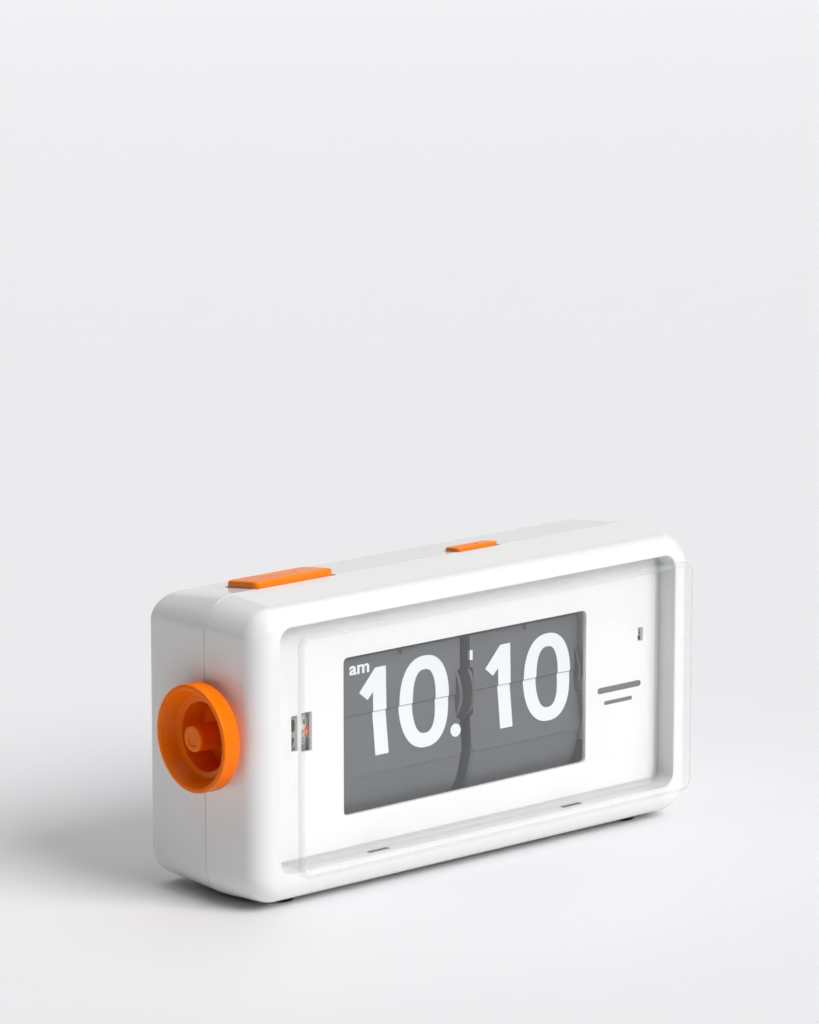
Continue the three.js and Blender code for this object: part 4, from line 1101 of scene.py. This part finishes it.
def foot(node):
    """A round rubber pad with a softened lower edge."""
    box = NodeBox(node)
    radius = (box.x1 - box.x0) / 2
    loops = []
    for r, z in ((radius - 0.5, box.z0), (radius - 0.15, box.z0 + 0.15), (radius, box.z0 + 0.45),
                 (radius, box.z1)):
        loops.append([(x, y, z) for x, y in circle_outline(box.x, box.y, r, 48)])
    points, faces = bridge(loops, caps=True)
    finish_piece(add_mesh(f"{node}_pad", points, faces, RUBBER), ROOT, "rubber", node)


# ---------------------------------------- build

front_shell()
rear_shell()
clear_cover()
dial_plate()
alarm_pointer()
alarm_drum()
alarm_wheel()
time_knob()
for leaf_set in (HOUR, MINUTE):
    hanging_stack(leaf_set, "10")
    standing_stack(leaf_set, "11")
    falling_leaf(leaf_set, "10", "11")
leaf_drum("hour_drum", "hour_roll")
leaf_drum("minute_drum", "time_setter")
push_button("alarm_button", "alarm_key", 2.4, 0.9, 2.2, 5)
push_button("light_button", "light_key", 1.6, 0.5, 1.6, 3)
for button in ("alarm", "light"):
    return_spring(button)
battery_door()
for side in ("left", "right"):
    for level in ("lower", "upper"):
        case_screw(f"case_screw_{level}_{side}")
    for end in ("front", "rear"):
        foot(f"foot_{end}_{side}")

# The CAD meshes that stay in view take the material of their slot in the record.
SLOT_LOOKS = {
    "white_gloss": WHITE, "clear_cover": CLEAR, "orange_plastic": ORANGE, "leaf_grey": LEAF,
    "white_satin": IVORY, "dark_plastic": DARK, "steel": STEEL, "brass": BRASS, "rubber": RUBBER,
    "board": BOARD, "cell": LABEL,
}
for part in frame["record"]["subparts"]:
    node = frame["nodes"][part["node"]]
    node.data.materials.clear()
    node.data.materials.append(SLOT_LOOKS[part["material_slot"]])
    smooth_by_angle(node.data, 30)

# ---------------------------------------- studio

FLOOR = plastic("floor", (0.895, 0.895, 0.91), 0.6, 40, bump=0.0, vary=0.004)


def sweep():
    """A pale floor, wide enough to fill the picture."""
    reach = 9.0
    mesh = bpy.data.meshes.new("floor")
    corners = [(-reach, -reach, 0), (reach, -reach, 0), (reach, reach, 0), (-reach, reach, 0)]
    mesh.from_pydata(corners, [], [(0, 1, 2, 3)])
    mesh.materials.append(FLOOR)
    link_mesh("floor", mesh)


def sun_light(name, direction, strength, spread):
    """A soft light from far away. direction points to the light and spread is its angle in degrees."""
    light = bpy.data.lights.new(name, "SUN")
    light.energy = strength
    light.angle = math.radians(spread)
    made = bpy.data.objects.new(name, light)
    made.rotation_euler = Vector(direction).to_track_quat("Z", "Y").to_euler()
    bpy.context.scene.collection.objects.link(made)


def card(name, place, target, size, power):
    """A large plain light that faces the target. Gloss and shiny edges reflect it."""
    light = bpy.data.lights.new(name, "AREA")
    light.shape = "RECTANGLE"
    light.size, light.size_y = size
    light.energy = power
    made = bpy.data.objects.new(name, light)
    made.location = place
    made.rotation_euler = (Vector(place) - Vector(target)).to_track_quat("Z", "Y").to_euler()
    bpy.context.scene.collection.objects.link(made)


sweep()
sun_light("key", (0.22, -0.85, 0.7), 2.75, 36)
sun_light("overhead", (0.1, 0.1, 1), 1.1, 70)
card("back_card", (3.0, 4.0, 1.1), (0, 0, 0.05), (5.5, 2.2), 24)

world = bpy.data.worlds.new("studio")
world.use_nodes = True
background = world.node_tree.nodes["Background"]
background.inputs["Color"].default_value = (0.93, 0.94, 1.0, 1)
background.inputs["Strength"].default_value = 0.06
bpy.context.scene.world = world

CAMERA_PLACE = Vector((-0.9663, -1.1131, 0.4183))
CAMERA_TARGET = Vector((0.0035, 0.0134, 0.1087))
eye = bpy.data.cameras.new("camera")
eye.lens = 168.75
eye.sensor_width = 36
eye.dof.use_dof = False
eye.clip_end = 50
camera = bpy.data.objects.new("camera", eye)
camera.location = CAMERA_PLACE
camera.rotation_euler = (CAMERA_TARGET - CAMERA_PLACE).to_track_quat("-Z", "Y").to_euler()
bpy.context.scene.collection.objects.link(camera)
bpy.context.scene.camera = camera
bpy.context.scene.view_settings.view_transform = "Standard"
